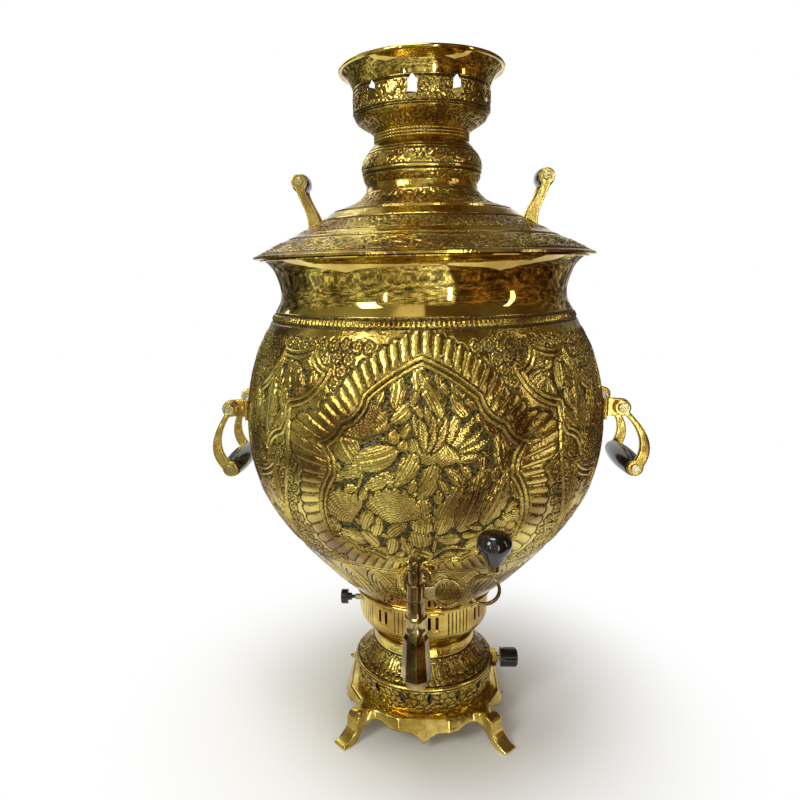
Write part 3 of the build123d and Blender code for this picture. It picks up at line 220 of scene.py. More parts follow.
# (name, place, width, height, watts): each soft box faces the middle of the tank
soft_boxes = (
    ("key_box", (-1.1, -1.25, 1.25), 0.5, 0.7, 12.0),
    ("strip_box", (1.45, -0.55, 0.75), 0.12, 1.2, 2.0),
    ("top_box", (-0.2, -0.3, 1.9), 0.7, 0.5, 11.0),
    ("back_box", (-0.9, 1.0, 1.3), 0.5, 0.9, 3.0),
    ("front_strip", (0.5, -1.4, 0.3), 0.06, 0.9, 2.5),
    ("left_strip", (-0.75, -1.5, 0.45), 0.05, 0.7, 1.5),
)
for name, spot, width, height, watts in soft_boxes:
    lamp = bpy.data.objects.new(name, bpy.data.lights.new(name, "AREA"))
    lamp.data.shape = "RECTANGLE"
    lamp.data.size, lamp.data.size_y, lamp.data.energy = width, height, watts
    lamp.location = spot
    lamp.rotation_euler = (lights_aim - Vector(spot)).to_track_quat("-Z", "Y").to_euler()
    bpy.context.scene.collection.objects.link(lamp)

# Plinth
# A square plate on four splayed legs with a pointed apron on each side, sand cast in one piece of brass,
# then filed and polished. Four screws hold it to the foot.


def merged(node):
    """A copy of a CAD node's mesh, its loose triangles joined."""
    shape = bmesh.new()
    shape.from_mesh(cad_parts[node].data)
    bmesh.ops.remove_doubles(shape, verts=shape.verts, dist=1e-6)
    return shape


def cast_copy(name, node, grain_size, rounds):
    """A copy of a solid with its edges softened all over, as a casting's are."""
    piece = make_object(name, merged(node))
    remesh = piece.modifiers.new("even", "REMESH")
    remesh.mode, remesh.voxel_size, remesh.use_smooth_shade = "VOXEL", grain_size, True
    soften = piece.modifiers.new("soften", "SMOOTH")
    soften.factor, soften.iterations = 0.5, rounds
    bpy.context.view_layer.update()
    evaluated = piece.evaluated_get(bpy.context.evaluated_depsgraph_get())
    mesh = bpy.data.meshes.new_from_object(evaluated)
    piece.modifiers.clear()
    piece.data = mesh
    return piece


def dress(piece, material, body, slot, *nodes):
    """Give a piece its material and its body, and let it stand for CAD nodes."""
    piece.data.materials.clear()
    piece.data.materials.append(material)
    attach(piece, body)
    if nodes:
        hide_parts(*nodes)


def spread(tones, light, dark):
    """A ramp's stops from tones that go from light to dark, between the places of the first and the last."""
    return list(zip(np.linspace(light, dark, len(tones)), tones))[::-1]


def metal(name, tones, patch, gloss, dent=0.0, dent_size=0.03, brushed=0.0):
    """A polished metal. tones lie a patch apart, gloss is the range of its roughness, dent and dent_size are
    the depth and width of the waves that beating leaves, and brushed the depth of fine lines, in metres."""
    material, add = new_material(name)
    place = add("TexCoord").outputs["Object"]
    clouds = add("TexNoise", {"Vector": place, "Scale": 1 / patch, "Detail": 4.0})
    tone = add("ValToRGB", {"Fac": clouds}, stops=spread(tones, 0.64, 0.34))
    # Smears some 8 mm across, from the polishing cloth
    smear = add("TexNoise", {"Vector": place, "Scale": 120.0, "Detail": 5.0})
    rough = add("MapRange", {"Value": smear, "From Min": 0.3, "From Max": 0.7,
                             "To Min": gloss[0], "To Max": gloss[1]})
    waves = add("TexNoise", {"Vector": place, "Scale": 1 / dent_size, "Detail": 1.0})
    bump = add("Bump", {"Height": waves, "Distance": dent, "Strength": 1.0})
    if brushed:
        # Lines about half a millimetre apart, coarser than real ones so that they show
        lines = add("Mapping", {"Vector": place, "Scale": (20.0, 20.0, 1800.0)})
        fine = add("TexNoise", {"Vector": lines, "Scale": 1.0, "Detail": 3.0})
        bump = add("Bump", {"Height": fine, "Distance": brushed, "Strength": 1.0, "Normal": bump})
    surface = add("BsdfPrincipled", {
        "Base Color": tone, "Metallic": 1.0, "Roughness": rough, "Normal": bump})
    add("OutputMaterial", {"Surface": surface})
    return material


# Cast brass, filed and buffed by hand: the tone drifts over a few centimetres and highlights waver
cast_brass = metal("cast_brass", ("#E4CA72", "#BEA250", "#94743C"), 0.035, (0.13, 0.28), 0.0006, 0.012)

plinth = cast_copy("plinth_casting", "plinth", 0.0013, 9)
dress(plinth, cast_brass, "tank", "cast_brass", "plinth")

# Foot
# The bell of the foot, spun from 1.2 mm brass sheet, engraved all over, and pierced with a ring of diamonds
# that lets air in. Four screws hold it to the plinth, and it is soldered to the bead above.


def millimetres(node):
    """A node's widest radius, its foot and its top, in millimetres."""
    low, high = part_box(node)
    return 1000 * high.x, 1000 * low.z, 1000 * high.z


def distances(line):
    """How far along a line each of its points lies."""
    return np.concatenate([[0.0], np.cumsum(np.hypot(*np.diff(line, axis=0).T))])


def curve_through(points, steps):
    """A smooth curve through (radius, height) points, in even steps."""
    points = np.array(points, float)
    places = distances(points)
    gaps, count = np.diff(places), len(points)
    system, target = np.eye(count), np.zeros((count, 2))
    for i in range(1, count - 1):
        system[i, i - 1:i + 2] = gaps[i - 1], 2 * (gaps[i - 1] + gaps[i]), gaps[i]
        slopes = (points[i + 1] - points[i]) / gaps[i], (points[i] - points[i - 1]) / gaps[i - 1]
        target[i] = 6 * (slopes[0] - slopes[1])
    bends = np.linalg.solve(system, target)
    fine = np.linspace(0.0, places[-1], steps + 1)
    i = np.clip(np.searchsorted(places, fine, side="right") - 1, 0, count - 2)
    gap, far = gaps[i][:, None], (fine - places[i])[:, None]
    near = gap - far
    return ((bends[i] * near**3 + bends[i + 1] * far**3) / (6 * gap)
            + (points[i] / gap - bends[i] * gap / 6) * near
            + (points[i + 1] / gap - bends[i + 1] * gap / 6) * far)


def joined(*runs):
    """Several runs of points as one line, each shared end kept once."""
    line = [np.array(runs[0], float)]
    for run in runs[1:]:
        line.append(np.array(run, float)[1:])
    return np.vstack(line)


def in_steps(line, pitch):
    """A line cut into steps no longer than a pitch, its corners kept."""
    points = [line[0]]
    for start, end in zip(line, line[1:]):
        count = max(1, round(float(np.hypot(*(end - start))) / pitch))
        points += [start + (end - start) * step / count for step in range(1, count + 1)]
    return np.array(points)


def outward(line):
    """The unit normals of a line that runs up the outside."""
    ways = np.gradient(line, axis=0)
    ways /= np.hypot(*ways.T)[:, None]
    return np.column_stack([ways[:, 1], -ways[:, 0]])


def walled(line, wall, every=10):
    """The closed section of a sheet: up its outer line, and back down a coarser line one wall inside."""
    inner = line - wall * outward(line)
    keep = sorted({*range(0, len(line), every), len(line) - 1}, reverse=True)
    return np.vstack([line, inner[keep]])


def profile(line, first, closed):
    """A line of (radius, height) points, to be spun, at an azimuth from the front towards the right. Each
    vertex keeps its row, which is its number in the line."""
    shape = bmesh.new()
    row = shape.verts.layers.float.new("row")
    verts = [shape.verts.new((0.001 * r * sin(first), -0.001 * r * cos(first), 0.001 * z)) for r, z in line]
    for number, vert in enumerate(verts):
        vert[row] = number
    for pair in zip(verts, verts[1:] + verts[:1] if closed else verts[1:]):
        shape.edges.new(pair)
    return shape


def sweep(shape, angle, steps, copies=False):
    """Spin all of a shape round the axis, or turn copies of it into place."""
    everything = shape.verts[:] + shape.edges[:] + shape.faces[:]
    bmesh.ops.spin(shape, geom=everything, axis=(0, 0, 1), cent=(0, 0, 0), angle=angle, steps=steps,
                   use_duplicate=copies)


def spin_up(section, columns, first=0.0, turn=tau):
    """Spin a closed section into a solid sheet. One slice is spun and copied, which is far quicker than one
    long spin, so the columns are a multiple of 12 or of 8."""
    shape = profile(section, first, closed=True)
    slices = 12 if columns % 12 == 0 else 8
    sweep(shape, turn / slices, columns // slices)
    sweep(shape, turn * (slices - 1) / slices, slices - 1, copies=True)
    bmesh.ops.remove_doubles(shape, verts=shape.verts, dist=1e-6)
    if turn < tau:
        ends = [edge for edge in shape.edges if edge.is_boundary]
        for edge in ends:
            edge.smooth = False
        bmesh.ops.holes_fill(shape, edges=ends, sides=0)
    bmesh.ops.recalc_face_normals(shape, faces=shape.faces)
    return shape


def pierce(shape, corners):
    """Cut a straight-sided hole through a sheet; corners go round it and lie on the sheet."""
    centre = sum(corners, Vector()) / len(corners)
    out = Vector((centre.x, centre.y, 0)).normalized()
    size = 1.5 * max((corner - centre).length for corner in corners)
    sides = []
    for start, end in zip(corners, corners[1:] + corners[:1]):
        across = (end - start).cross(out).normalized()
        if across.dot(start - centre) < 0:
            across = -across
        sides.append((start, across))
        close = [face for face in shape.faces if (face.calc_center_median() - centre).length < size]
        parts = dict.fromkeys(part for face in close for part in (*face.edges, *face.verts))
        bmesh.ops.bisect_plane(shape, geom=close + list(parts), plane_co=start, plane_no=across, dist=1e-7)
    gone = []
    for face in shape.faces:
        middle = face.calc_center_median()
        inside = all((middle - spot).dot(across) < 0 for spot, across in sides)
        if inside and (middle - centre).length < size:
            gone.append(face)
    bmesh.ops.delete(shape, geom=gone, context="FACES")


def spin_open(line, columns, count, turn, holes):
    """Spin an open line into a sheet of like slices, the first about an azimuth in degrees. One is spun and
    pierced, and copies of it are turned into place. A hole is its corners as (mm across from the slice's
    middle, height)."""
    shape = profile(line, radians(turn) - pi / count, closed=False)
    sweep(shape, tau / count, columns // count)
    for hole in holes:
        corners = []
        for across, height in hole:
            radius = float(np.interp(height, line[:, 1], line[:, 0]))
            angle = radians(turn) + across / radius
            corners.append(0.001 * Vector((radius * sin(angle), -radius * cos(angle), height)))
        pierce(shape, corners)
    sweep(shape, tau - tau / count, count - 1, copies=True)
    bmesh.ops.remove_doubles(shape, verts=shape.verts, dist=1e-6)
    bmesh.ops.recalc_face_normals(shape, faces=shape.faces)
    face = next(iter(shape.faces))
    if face.normal.xy.dot(face.calc_center_median().xy) < 0:
        bmesh.ops.reverse_faces(shape, faces=shape.faces)
    return shape


def thicken(piece, wall):
    """Give an open sheet its wall, inwards."""
    solidify = piece.modifiers.new("wall", "SOLIDIFY")
    solidify.thickness, solidify.offset, solidify.use_even_offset = 0.001 * wall, -1.0, True


class Chasing:
    """Work raised on a sheet that is unrolled flat: heights in mm over places across and up in mm, and the
    places of the fine lines that a chisel leaves, in line spacings."""

    groove = 1.1
    depth = 0.0
    reach = 30.0

    def __init__(self, across, up, level=0.0):
        self.across, self.up = np.meshgrid(across, up)
        self.height = np.full(self.across.shape, float(level))
        self.hatch = np.zeros(self.across.shape)
        self.zone = np.zeros(self.across.shape, bool)

    def near(self, x, y, reach):
        """The part of the sheet within reach of a place; work on it is work on the sheet."""
        columns = slice(*np.searchsorted(self.across[0], (x - reach, x + reach)))
        rows = slice(*np.searchsorted(self.up[:, 0], (y - reach, y + reach)))
        return self.cut(rows, columns)

    def cut(self, rows, columns):
        """A piece of the sheet."""
        part = copy(self)
        for name in ("across", "up", "height", "hatch", "zone"):
            setattr(part, name, getattr(self, name)[rows, columns])
        return part

    def moved(self, centre):
        """The same sheet, with its places measured from a centre."""
        sheet = copy(self)
        sheet.across = self.across - centre
        return sheet

    def press(self, beyond, height, hatch=None):
        """Lay a form down: beyond is how far each place lies outside it, and a groove is cut round it."""
        inside = beyond <= 0
        cut = (beyond > 0) & (beyond < self.groove)
        self.height[cut] = np.minimum(self.height[cut], -self.depth)
        self.height[inside] = np.broadcast_to(height, inside.shape)[inside]
        self.hatch[inside] = 0.0 if hatch is None else np.broadcast_to(hatch, inside.shape)[inside]

    def leaf(self, x, y, turn, length, width, bend=0.0, lift=1.7, lobes=0, spine=True, pitch=2.6):
        """A leaf from its stalk at (x, y); turn is its way in degrees, bend how far it curls to its left."""
        turn, bend = radians(turn), radians(bend) if bend else 1e-4
        part = self.near(x, y, length + width)
        dx, dy = part.across - x, part.up - y
        along, side = dx * cos(turn) + dy * sin(turn), -dx * sin(turn) + dy * cos(turn)
        radius = length / bend
        sign = 1.0 if radius > 0 else -1.0
        reach = np.hypot(along, side - radius)
        along = abs(radius) * np.arctan2(along, sign * (radius - side))
        side = sign * (abs(radius) - reach)
        t = np.clip(along / length, 0.0, 1.0)
        half = 0.5 * width * np.sin(pi * t**0.8) ** 0.75
        if lobes:
            half = half * (0.78 + 0.22 * np.abs(np.sin(pi * lobes * t)))
        beyond = np.maximum(np.abs(side) - half, np.maximum(-along, along - length))
        dome = np.clip(1 - (side / np.maximum(half, 0.01)) ** 2, 0.0, 1.0)
        height = lift * (0.45 + 0.55 * np.sqrt(dome))
        if spine:
            height = height - 0.6 * np.exp(-((side / 0.8) ** 2)) * (t < 0.85)
            if width > 9:
                height = height - 0.8 * np.exp(-(((half - np.abs(side) - 2.2) / 0.6) ** 2)) * (t > 0.1)
            veins = 0.3 + np.abs(side) / pitch
        else:
            veins = (along - 0.9 * np.abs(side)) / pitch
        part.press(beyond, height, veins)

    def leaf_on(self, x, y, turn, length, *rest):
        """A leaf with its middle, and not its stalk, at (x, y)."""
        back_x, back_y = 0.5 * length * cos(radians(turn)), 0.5 * length * sin(radians(turn))
        self.leaf(x - back_x, y - back_y, turn, length, *rest)

    def flower(self, x, y, radius, petals, turn=0.0, lift=1.7):
        """An open flower seen from above, with a round eye."""
        part = self.near(x, y, radius + 2)
        dx, dy = part.across - x, part.up - y
        r, angle = np.hypot(dx, dy), np.arctan2(dy, dx) - radians(turn)
        notch = np.abs(np.cos(0.5 * petals * angle))
        edge = radius * (0.72 + 0.28 * notch**0.5)
        height = lift * (0.5 + 0.5 * np.sqrt(np.clip(1 - (r / edge) ** 2, 0, 1))) - 0.7 * (1 - notch) ** 3
        eye = 0.28 * radius
        height = np.where(r < eye + 0.7, 0.1, height)
        height = np.where(r < eye, lift * (0.55 + 0.5 * np.sqrt(np.clip(1 - (r / eye) ** 2, 0, 1))), height)
        part.press(r - edge, height, np.where(r < eye, 0.0, r / 2.2))

    def fan(self, x, y, turn, radius, spread, ribs, lift=1.7):
        """A half-open flower: a fan of ribs that spreads from its foot at (x, y)."""
        part = self.near(x, y, radius + 2)
        dx, dy = part.across - x, part.up - y
        r = np.hypot(dx, dy)
        angle = (np.arctan2(dy, dx) - radians(turn) + pi) % tau - pi
        share = angle / radians(spread) + 0.5
        scallop = np.abs(np.sin(pi * ribs * np.clip(share, 0, 1)))
        edge = radius * (0.86 + 0.14 * scallop**0.5) * (1 - 0.25 * (2 * share - 1) ** 2)
        beyond = np.maximum(r - edge, np.maximum(-share, share - 1) * r * radians(spread))
        height = lift * (0.45 + 0.55 * np.clip(r / radius, 0, 1)) * (0.55 + 0.45 * scallop**0.6)
        part.press(beyond, height, r / 2.4)

    def away(self, line, closed=False):
        """How far every place lies from a line, no further than its reach, and whether it lies inside
        the line when that is closed."""
        line = np.array(line, float)
        ends = np.roll(line, -1, axis=0) if closed else line[1:]
        nearest = np.full(self.across.shape, float(self.reach))
        inside = np.zeros(self.across.shape, bool)
        across, up = self.across[0], self.up[:, 0]
        for (ax, ay), (bx, by) in zip(line, ends):
            columns = slice(*np.searchsorted(across, (min(ax, bx) - self.reach, max(ax, bx) + self.reach)))
            rows = slice(*np.searchsorted(up, (min(ay, by) - self.reach, max(ay, by) + self.reach)))
            dx, dy = across[None, columns] - ax, up[rows, None] - ay
            vx, vy = bx - ax, by - ay
            t = np.clip((dx * vx + dy * vy) / max(vx * vx + vy * vy, 1e-9), 0, 1)
            nearest[rows, columns] = np.minimum(nearest[rows, columns], np.hypot(dx - t * vx, dy - t * vy))
            if closed and ay != by:
                rows = slice(*np.searchsorted(up, (min(ay, by), max(ay, by))))
                inside[rows] ^= across[None, :] < ax + (up[rows, None] - ay) * vx / vy
        return nearest, inside

    def stem(self, points, width, lift=1.4, steps=24):
        """A round stem along a smooth curve."""
        middle = np.mean(points, axis=0)
        part = self.near(*middle, max(hypot(*(middle - point)) for point in np.array(points)) + 5)
        if not part.height.size:
            return
        part.reach = width
        nearest, _ = part.away(curve_through(points, steps))
        height = lift * np.sqrt(np.clip(1 - (2 * nearest / width) ** 2, 0, 1))
        part.press(nearest - width / 2, 0.3 + height)

    def rings(self, places, half, height):
        """Lines round the sheet at places up it."""
        for place in places:
            self.height[np.abs(self.up - place) < half] = height


def cells(girth, pitch, low, high):
    """Places on a honeycomb that goes round a girth, each a little off its place by a chance of its own."""
    count = round(girth / pitch)
    rise = 0.87 * pitch
    for row in range(int(low / rise) + 1, int(high / rise) + 1):
        for number in range(-count // 3, count + 1):
            chance = np.random.default_rng((row, number % count))
            x = (number + 0.5 * (row % 2)) * girth / count + 0.08 * pitch * chance.uniform(-1, 1)
            yield x, (row + 0.1 * chance.uniform(-1, 1)) * rise, chance


def engrave(work, pitch, low, high, depth=0.35, lift=0.3):
    """Cut small leaves and florets close together over a band, each turned its own way."""
    work = copy(work)
    work.depth = depth
    for x, y, chance in cells(work.across[0, -1], pitch, low, high):
        turn = chance.uniform(0, 360)
        if chance.random() < 0.3:
            work.flower(x, y, 0.52 * pitch, 5, turn, lift)
        else:
            bend = chance.uniform(20, 60) * chance.choice((-1, 1))
            work.leaf_on(x, y, turn, 1.2 * pitch, 0.62 * pitch, bend, lift, 0, False, 1.9)


def raise_work(mesh, line, work, first=0.0, turn=tau, base=0.0):
    """Move the outer rows of a spun mesh out by the work's heights, and keep heights and lines on it."""
    count = len(mesh.vertices)
    places = np.empty(3 * count)
    mesh.vertices.foreach_get("co", places)
    places = places.reshape(-1, 3)
    rows = np.empty(count)
    mesh.attributes["row"].data.foreach_get("value", rows)
    rows = np.rint(rows).astype(int)
    outer = rows < len(line)
    azimuth = np.arctan2(places[:, 0], -places[:, 1])
    columns = work.height.shape[1] - 1
    column = np.rint(((azimuth - first + 1e-6) % tau) / turn * columns).astype(int)
    column = np.where(column > columns, 0, column)
    heights, hatches = np.full(count, base), np.zeros(count)
    heights[outer] = work.height[rows[outer], column[outer]]
    hatches[outer] = work.hatch[rows[outer], column[outer]]
    normals = outward(line)
    move = 0.001 * (heights - base)
    places[outer, 0] += (move * np.sin(azimuth))[outer] * normals[rows[outer], 0]
    places[outer, 1] -= (move * np.cos(azimuth))[outer] * normals[rows[outer], 0]
    places[outer, 2] += move[outer] * normals[rows[outer], 1]
    mesh.vertices.foreach_set("co", places.ravel())
    for name, values in (("height", heights), ("hatch", hatches)):
        mesh.attributes.new(name, "FLOAT", "POINT").data.foreach_set("value", values)
    mesh.attributes.remove(mesh.attributes["row"])
    mesh.update()


def chased_metal(name, tones, dark, patch, gloss, low, high, hammer):
    """A chased metal: its colour and shine go by the height of the work in mm, from dark at low to bright at
    high. The ground is matted with a punch, fine chisel lines run over what stands up, and hammer is the
    depth of the beaten dents in metres."""
    material, add = new_material(name)
    place = add("TexCoord").outputs["Object"]
    height = add("Attribute", attribute_name="height").outputs["Fac"]
    hatch = add("Attribute", attribute_name="hatch").outputs["Fac"]
    clouds = add("TexNoise", {"Vector": place, "Scale": 1 / patch, "Detail": 4.0})
    tone = add("ValToRGB", {"Fac": clouds}, stops=spread(tones, 0.62, 0.36))
    raised = add("MapRange", {"Value": height, "From Min": low, "From Max": high},
                 interpolation_type="SMOOTHSTEP")
    angle = add("Math", {0: hatch, 1: tau}, operation="MULTIPLY")
    wave = add("Math", {0: angle}, operation="SINE")
    cut = add("MapRange", {"Value": wave, "From Min": 0.45, "From Max": 0.95})
    marked = add("Math", {0: hatch, 1: 0.001}, operation="GREATER_THAN")
    cut = add("Math", {0: cut, 1: marked}, operation="MULTIPLY")
    stain = add("Math", {0: cut, 1: 0.75}, operation="MULTIPLY")
    clean = add("Math", {0: 1.0, 1: stain}, operation="SUBTRACT")
    clean = add("Math", {0: clean, 1: raised}, operation="MULTIPLY")
    # Punch marks 2.4 mm apart
    punch = add("TexVoronoi", {"Vector": place, "Scale": 1 / 0.0024})
    matting = add("ValToRGB", {"Fac": punch}, stops=[(0.15, dark[0]), (0.55, dark[1])])
    base = add("Mix", {"Factor": clean, "A": matting, "B": tone}, data_type="RGBA").outputs["Result"]
    rough = add("MapRange", {"Value": clean, "To Min": gloss[1], "To Max": gloss[0]})
    dots = add("Math", {0: punch, 1: raised}, operation="MAXIMUM")
    ground = add("Bump", {"Height": dots, "Distance": 0.0011, "Strength": 1.0})
    chisel = add("Bump", {"Height": cut, "Distance": -0.0005, "Strength": 1.0, "Normal": ground})
    # Hammer marks about 6 mm across
    beaten = add("TexNoise", {"Vector": place, "Scale": 1 / 0.006, "Detail": 4.0, "Roughness": 0.6})
    bump = add("Bump", {"Height": beaten, "Distance": hammer, "Strength": 1.0, "Normal": chisel})
    surface = add("BsdfPrincipled", {
        "Base Color": base, "Metallic": 1.0, "Roughness": rough, "Normal": bump})
    add("OutputMaterial", {"Surface": surface})
    return material


# Spun brass, buffed and lacquered: mirror bright, with slow waves from the spinning tool
polished_brass = metal("polished_brass", ("#E8D272", "#C8AA54", "#A48440"), 0.05, (0.03, 0.08), 0.0007, 0.03)
# Spun brass with shallow engraving, its lines darkened by old polish
engraved_brass = chased_metal("engraved_brass", ("#E8D06E", "#C2A250", "#9A7838"), ("#2A2210", "#4A3D1E"),
                              0.045, (0.12, 0.4), -0.45, -0.1, 0.0005)


def unrolled(line, radius, columns):
    """The plain sheet of a spun line, unrolled at a radius, with a column for each column of its mesh."""
    return Chasing(np.linspace(0.0, tau * radius, columns + 1), distances(line))


def engraved_sheet(node, shape, line, work, body):
    """Raise the work on a spun mesh, and let it stand for the node."""
    piece = make_object(f"{node}_sheet", shape, sharp=50)
    raise_work(piece.data, line, work)
    dress(piece, engraved_brass, body, "polished_brass", node)
    return piece


sheet_wall = 1.2
bell_foot_radius, bell_radius, bell_columns = 73.0, 70.0, 384
waist_radius = 53.0
_, bell_foot, bell_top = millimetres("foot_bell")
bell_line = in_steps(joined(
    [(bell_foot_radius, bell_foot), (77.0, bell_foot + 26.0), (76.0, bell_foot + 29.0)],
    curve_through([(76.0, bell_foot + 29.0), (65.0, bell_foot + 38.0), (56.5, bell_foot + 49.0),
                   (waist_radius, bell_top)], 24)), 1.0)
diamond_count, diamond_turn, diamond_width, diamond_height = 16, 5.0, 8.0, 15.0
diamond_middle = bell_foot + 19.0
work = unrolled(bell_line, bell_radius, bell_columns)
engrave(work, 8.0, 3, 26, 0.55, 0.5)
engrave(work, 7.0, 34, 58, 0.55, 0.5)
for number in range(diamond_count):
    middle = (number + 0.5) / diamond_count * tau * bell_radius
    work.leaf(middle - 9, 42, 60, 15, 8, 60, 0.5)
    work.leaf(middle + 9, 42, 120, 15, 8, -60, 0.5)
    work.leaf(middle, 40, 90, 19, 9, 0, 0.6)
work.rings((27.5, 32.5, 60.0), 0.6, -0.5)
diamond = [(0, diamond_middle - diamond_height / 2), (diamond_width / 2, diamond_middle),
           (0, diamond_middle + diamond_height / 2), (-diamond_width / 2, diamond_middle)]
shape = spin_open(bell_line, bell_columns, diamond_count, diamond_turn, [diamond])
thicken(engraved_sheet("foot_bell", shape, bell_line, work, "tank"), sheet_wall)

# Vent band
# The wall round the burner, spun in one piece from 1.2 mm brass sheet, ribbed, and pierced with pairs of
# upright slots that let air in. It is soldered to the beads below and above it.
_, band_foot, band_top = millimetres("vent_band")
band_radius, band_columns = 70.0, 400
vent_pairs, vent_turn, vent_width, vent_height, vent_spacing = 8, 8.0, 3.2, 13.0, 8.0
frame_half_width, frame_half_height = 10.5, 9.5
rib_pitch, rib_depth, rib_start = 4.4, 0.5, 12.5
band_rise = band_top - band_foot
shoulder = band_foot + 0.45 * band_rise
band_line = in_steps(joined(
    curve_through([(waist_radius, band_foot), (59.0, band_foot + 0.16 * band_rise),
                   (68.0, band_foot + 0.34 * band_rise), (band_radius, shoulder)], 22),
    [(band_radius, shoulder), (band_radius, band_top)]), 1.0)
vent_middle = (shoulder + band_top) / 2
slots = []
for side in (-1, 1):
    left, right = side * vent_spacing / 2 - vent_width / 2, side * vent_spacing / 2 + vent_width / 2
    low, high = vent_middle - vent_height / 2, vent_middle + vent_height / 2
    slots.append([(left, low), (right, low), (right, high), (left, high)])
work = unrolled(band_line, band_radius, band_columns)
heights = band_line[:, 1][:, None] + 0 * work.across
pitch = tau * band_radius / vent_pairs
across = (work.across - radians(vent_turn) * band_radius + pitch / 2) % pitch - pitch / 2
# A raised frame round each pair of slots, and ribs between the frames
away = np.maximum(np.abs(across) / frame_half_width, np.abs(heights - vent_middle) / frame_half_height)
work.height[(away > 0.93) & (away < 1.08)] = 0.5
ribs = (np.abs(across) > rib_start) & (heights > band_foot + 0.42 * band_rise) & (heights < band_top - 3)
work.height[ribs] = -rib_depth * (1 - np.abs(np.sin(pi * work.across / rib_pitch)) ** 0.5)[ribs]
shape = spin_open(band_line, band_columns, vent_pairs, vent_turn, slots)
thicken(engraved_sheet("vent_band", shape, band_line, work, "tank"), sheet_wall)

# Beads of the foot
# Two half-round rings of cast brass, turned smooth. They cover the joints above and below the vent band, and
# hold the sheets on both sides together with solder.


def bead(radius, foot, top, inner, name, steps=14, notches=0, depth=0.0):
    """A half-round ring round the axis, from its foot to its top; notches cut across it make it a rope."""
    half = (top - foot) / 2
    turns = [pi * step / steps for step in range(steps + 1)]
    line = np.array([(radius - half + half * sin(turn), foot + half * (1 - cos(turn))) for turn in turns])
    columns = 8 * max(notches, 30)
    section = np.vstack([line, [(inner, top), (inner, foot)]])
    piece = make_object(name, spin_up(section, columns), sharp=60)
    work = Chasing(np.linspace(0.0, max(notches, 1), columns + 1), np.linspace(0.0, 1.0, steps + 1))
    if notches:
        work.height = -depth * np.abs(np.cos(pi * (work.across + 0.6 * work.up))) ** 3
    raise_work(piece.data, line, work)
    return piece


waist_reach, waist_foot, waist_top = millimetres("waist_ring")
_, ring_foot, ring_top = millimetres("gallery_ring")
gallery_bead_radius, waist_bore, gallery_bore = 75.0, 47.0, 50.0
waist_bead = bead(waist_reach, waist_foot, waist_top, waist_bore, "waist_bead")
gallery_bead = bead(gallery_bead_radius, ring_foot, ring_top, gallery_bore, "gallery_bead")
dress(waist_bead, cast_brass, "tank", "cast_brass", "waist_ring")
dress(gallery_bead, cast_brass, "tank", "cast_brass", "gallery_ring")

# Gallery
# The cup that carries the tank, of brass sheet: spun, and then pleated over a former. The pleats die out at
# its foot and its top, where it is soldered to the bead and to the tank.
tank_radius, tank_foot, tank_top = millimetres("tank_shell")
gallery_foot_radius, tank_foot_radius = 73.5, 97.0
gallery_line = in_steps(np.array([(gallery_foot_radius, ring_top), (tank_foot_radius, tank_foot)]), 1.0)
pleats, pleat_depth = 30, 1.0
columns = 12 * pleats
work = Chasing(np.linspace(0.0, pleats, columns + 1), np.linspace(0.0, 1.0, len(gallery_line)))
work.height = -pleat_depth * (1 - np.abs(np.sin(pi * work.across)) ** 0.6) * np.sin(pi * work.up) ** 0.4
gallery = make_object("gallery_sheet", spin_up(walled(gallery_line, sheet_wall), columns), sharp=50)
raise_work(gallery.data, gallery_line, work)
dress(gallery, polished_brass, "tank", "polished_brass", "gallery_cup")

# Tank
# A great round body beaten up from 1.5 mm brass sheet and chased all over: a cusped medallion on each of its
# four sides between borders of petals, with a matted dark ground behind flowers, leaves and birds.
tank_neck_radius, tank_wall = 148.5, 1.5
tank_rise = tank_top - tank_foot
tank_line = curve_through([
    (tank_foot_radius, tank_foot), (0.725 * tank_radius, tank_foot + 0.138 * tank_rise),
    (0.890 * tank_radius, tank_foot + 0.290 * tank_rise), (tank_radius, tank_foot + 0.584 * tank_rise),
    (0.918 * tank_radius, tank_foot + 0.864 * tank_rise), (tank_neck_radius, tank_top)], 304)
# The sheet lies a little inside, so that the work on it stays within the tank's size
tank_line -= 1.4 * np.sin(np.linspace(0.0, pi, len(tank_line)))[:, None] ** 0.5 * outward(tank_line)
quarter = tank_radius * pi / 2
tank_columns = 288
tank_level = 0.8
margin_columns = 45
# The chased field, up the sheet from the tank's foot, and the middle of the medallions
field_foot, field_top, field_middle = 72, 290, 165.0

# Chased and patinated brass: bright where it stands up and is rubbed, nearly black down in the ground
chased_brass = chased_metal("chased_brass", ("#E0CA6C", "#B2964A", "#7E602E"), ("#14120D", "#6E6440"),
                            0.05, (0.10, 0.42), 0.15, 0.7, 0.0009)


def scalloped(corners, steps=8):
    """A line of arcs between cusps: each corner is (x, y, bulge), the bulge of the arc that follows it."""
    points = []
    for (ax, ay, bulge), (bx, by, _) in zip(corners, corners[1:]):
        length = hypot(bx - ax, by - ay)
        nx, ny = (by - ay) / length, -(bx - ax) / length
        for step in range(steps):
            t = step / steps
            out = 4 * bulge * t * (1 - t)
            points.append((ax + (bx - ax) * t + nx * out, ay + (by - ay) * t + ny * out))
    return points + [corners[-1][:2]]


def mirrored(line):
    """A line that starts and ends on the middle, closed with its mirror image."""
    return line + [(-x, y) for x, y in line[-2:0:-1]]


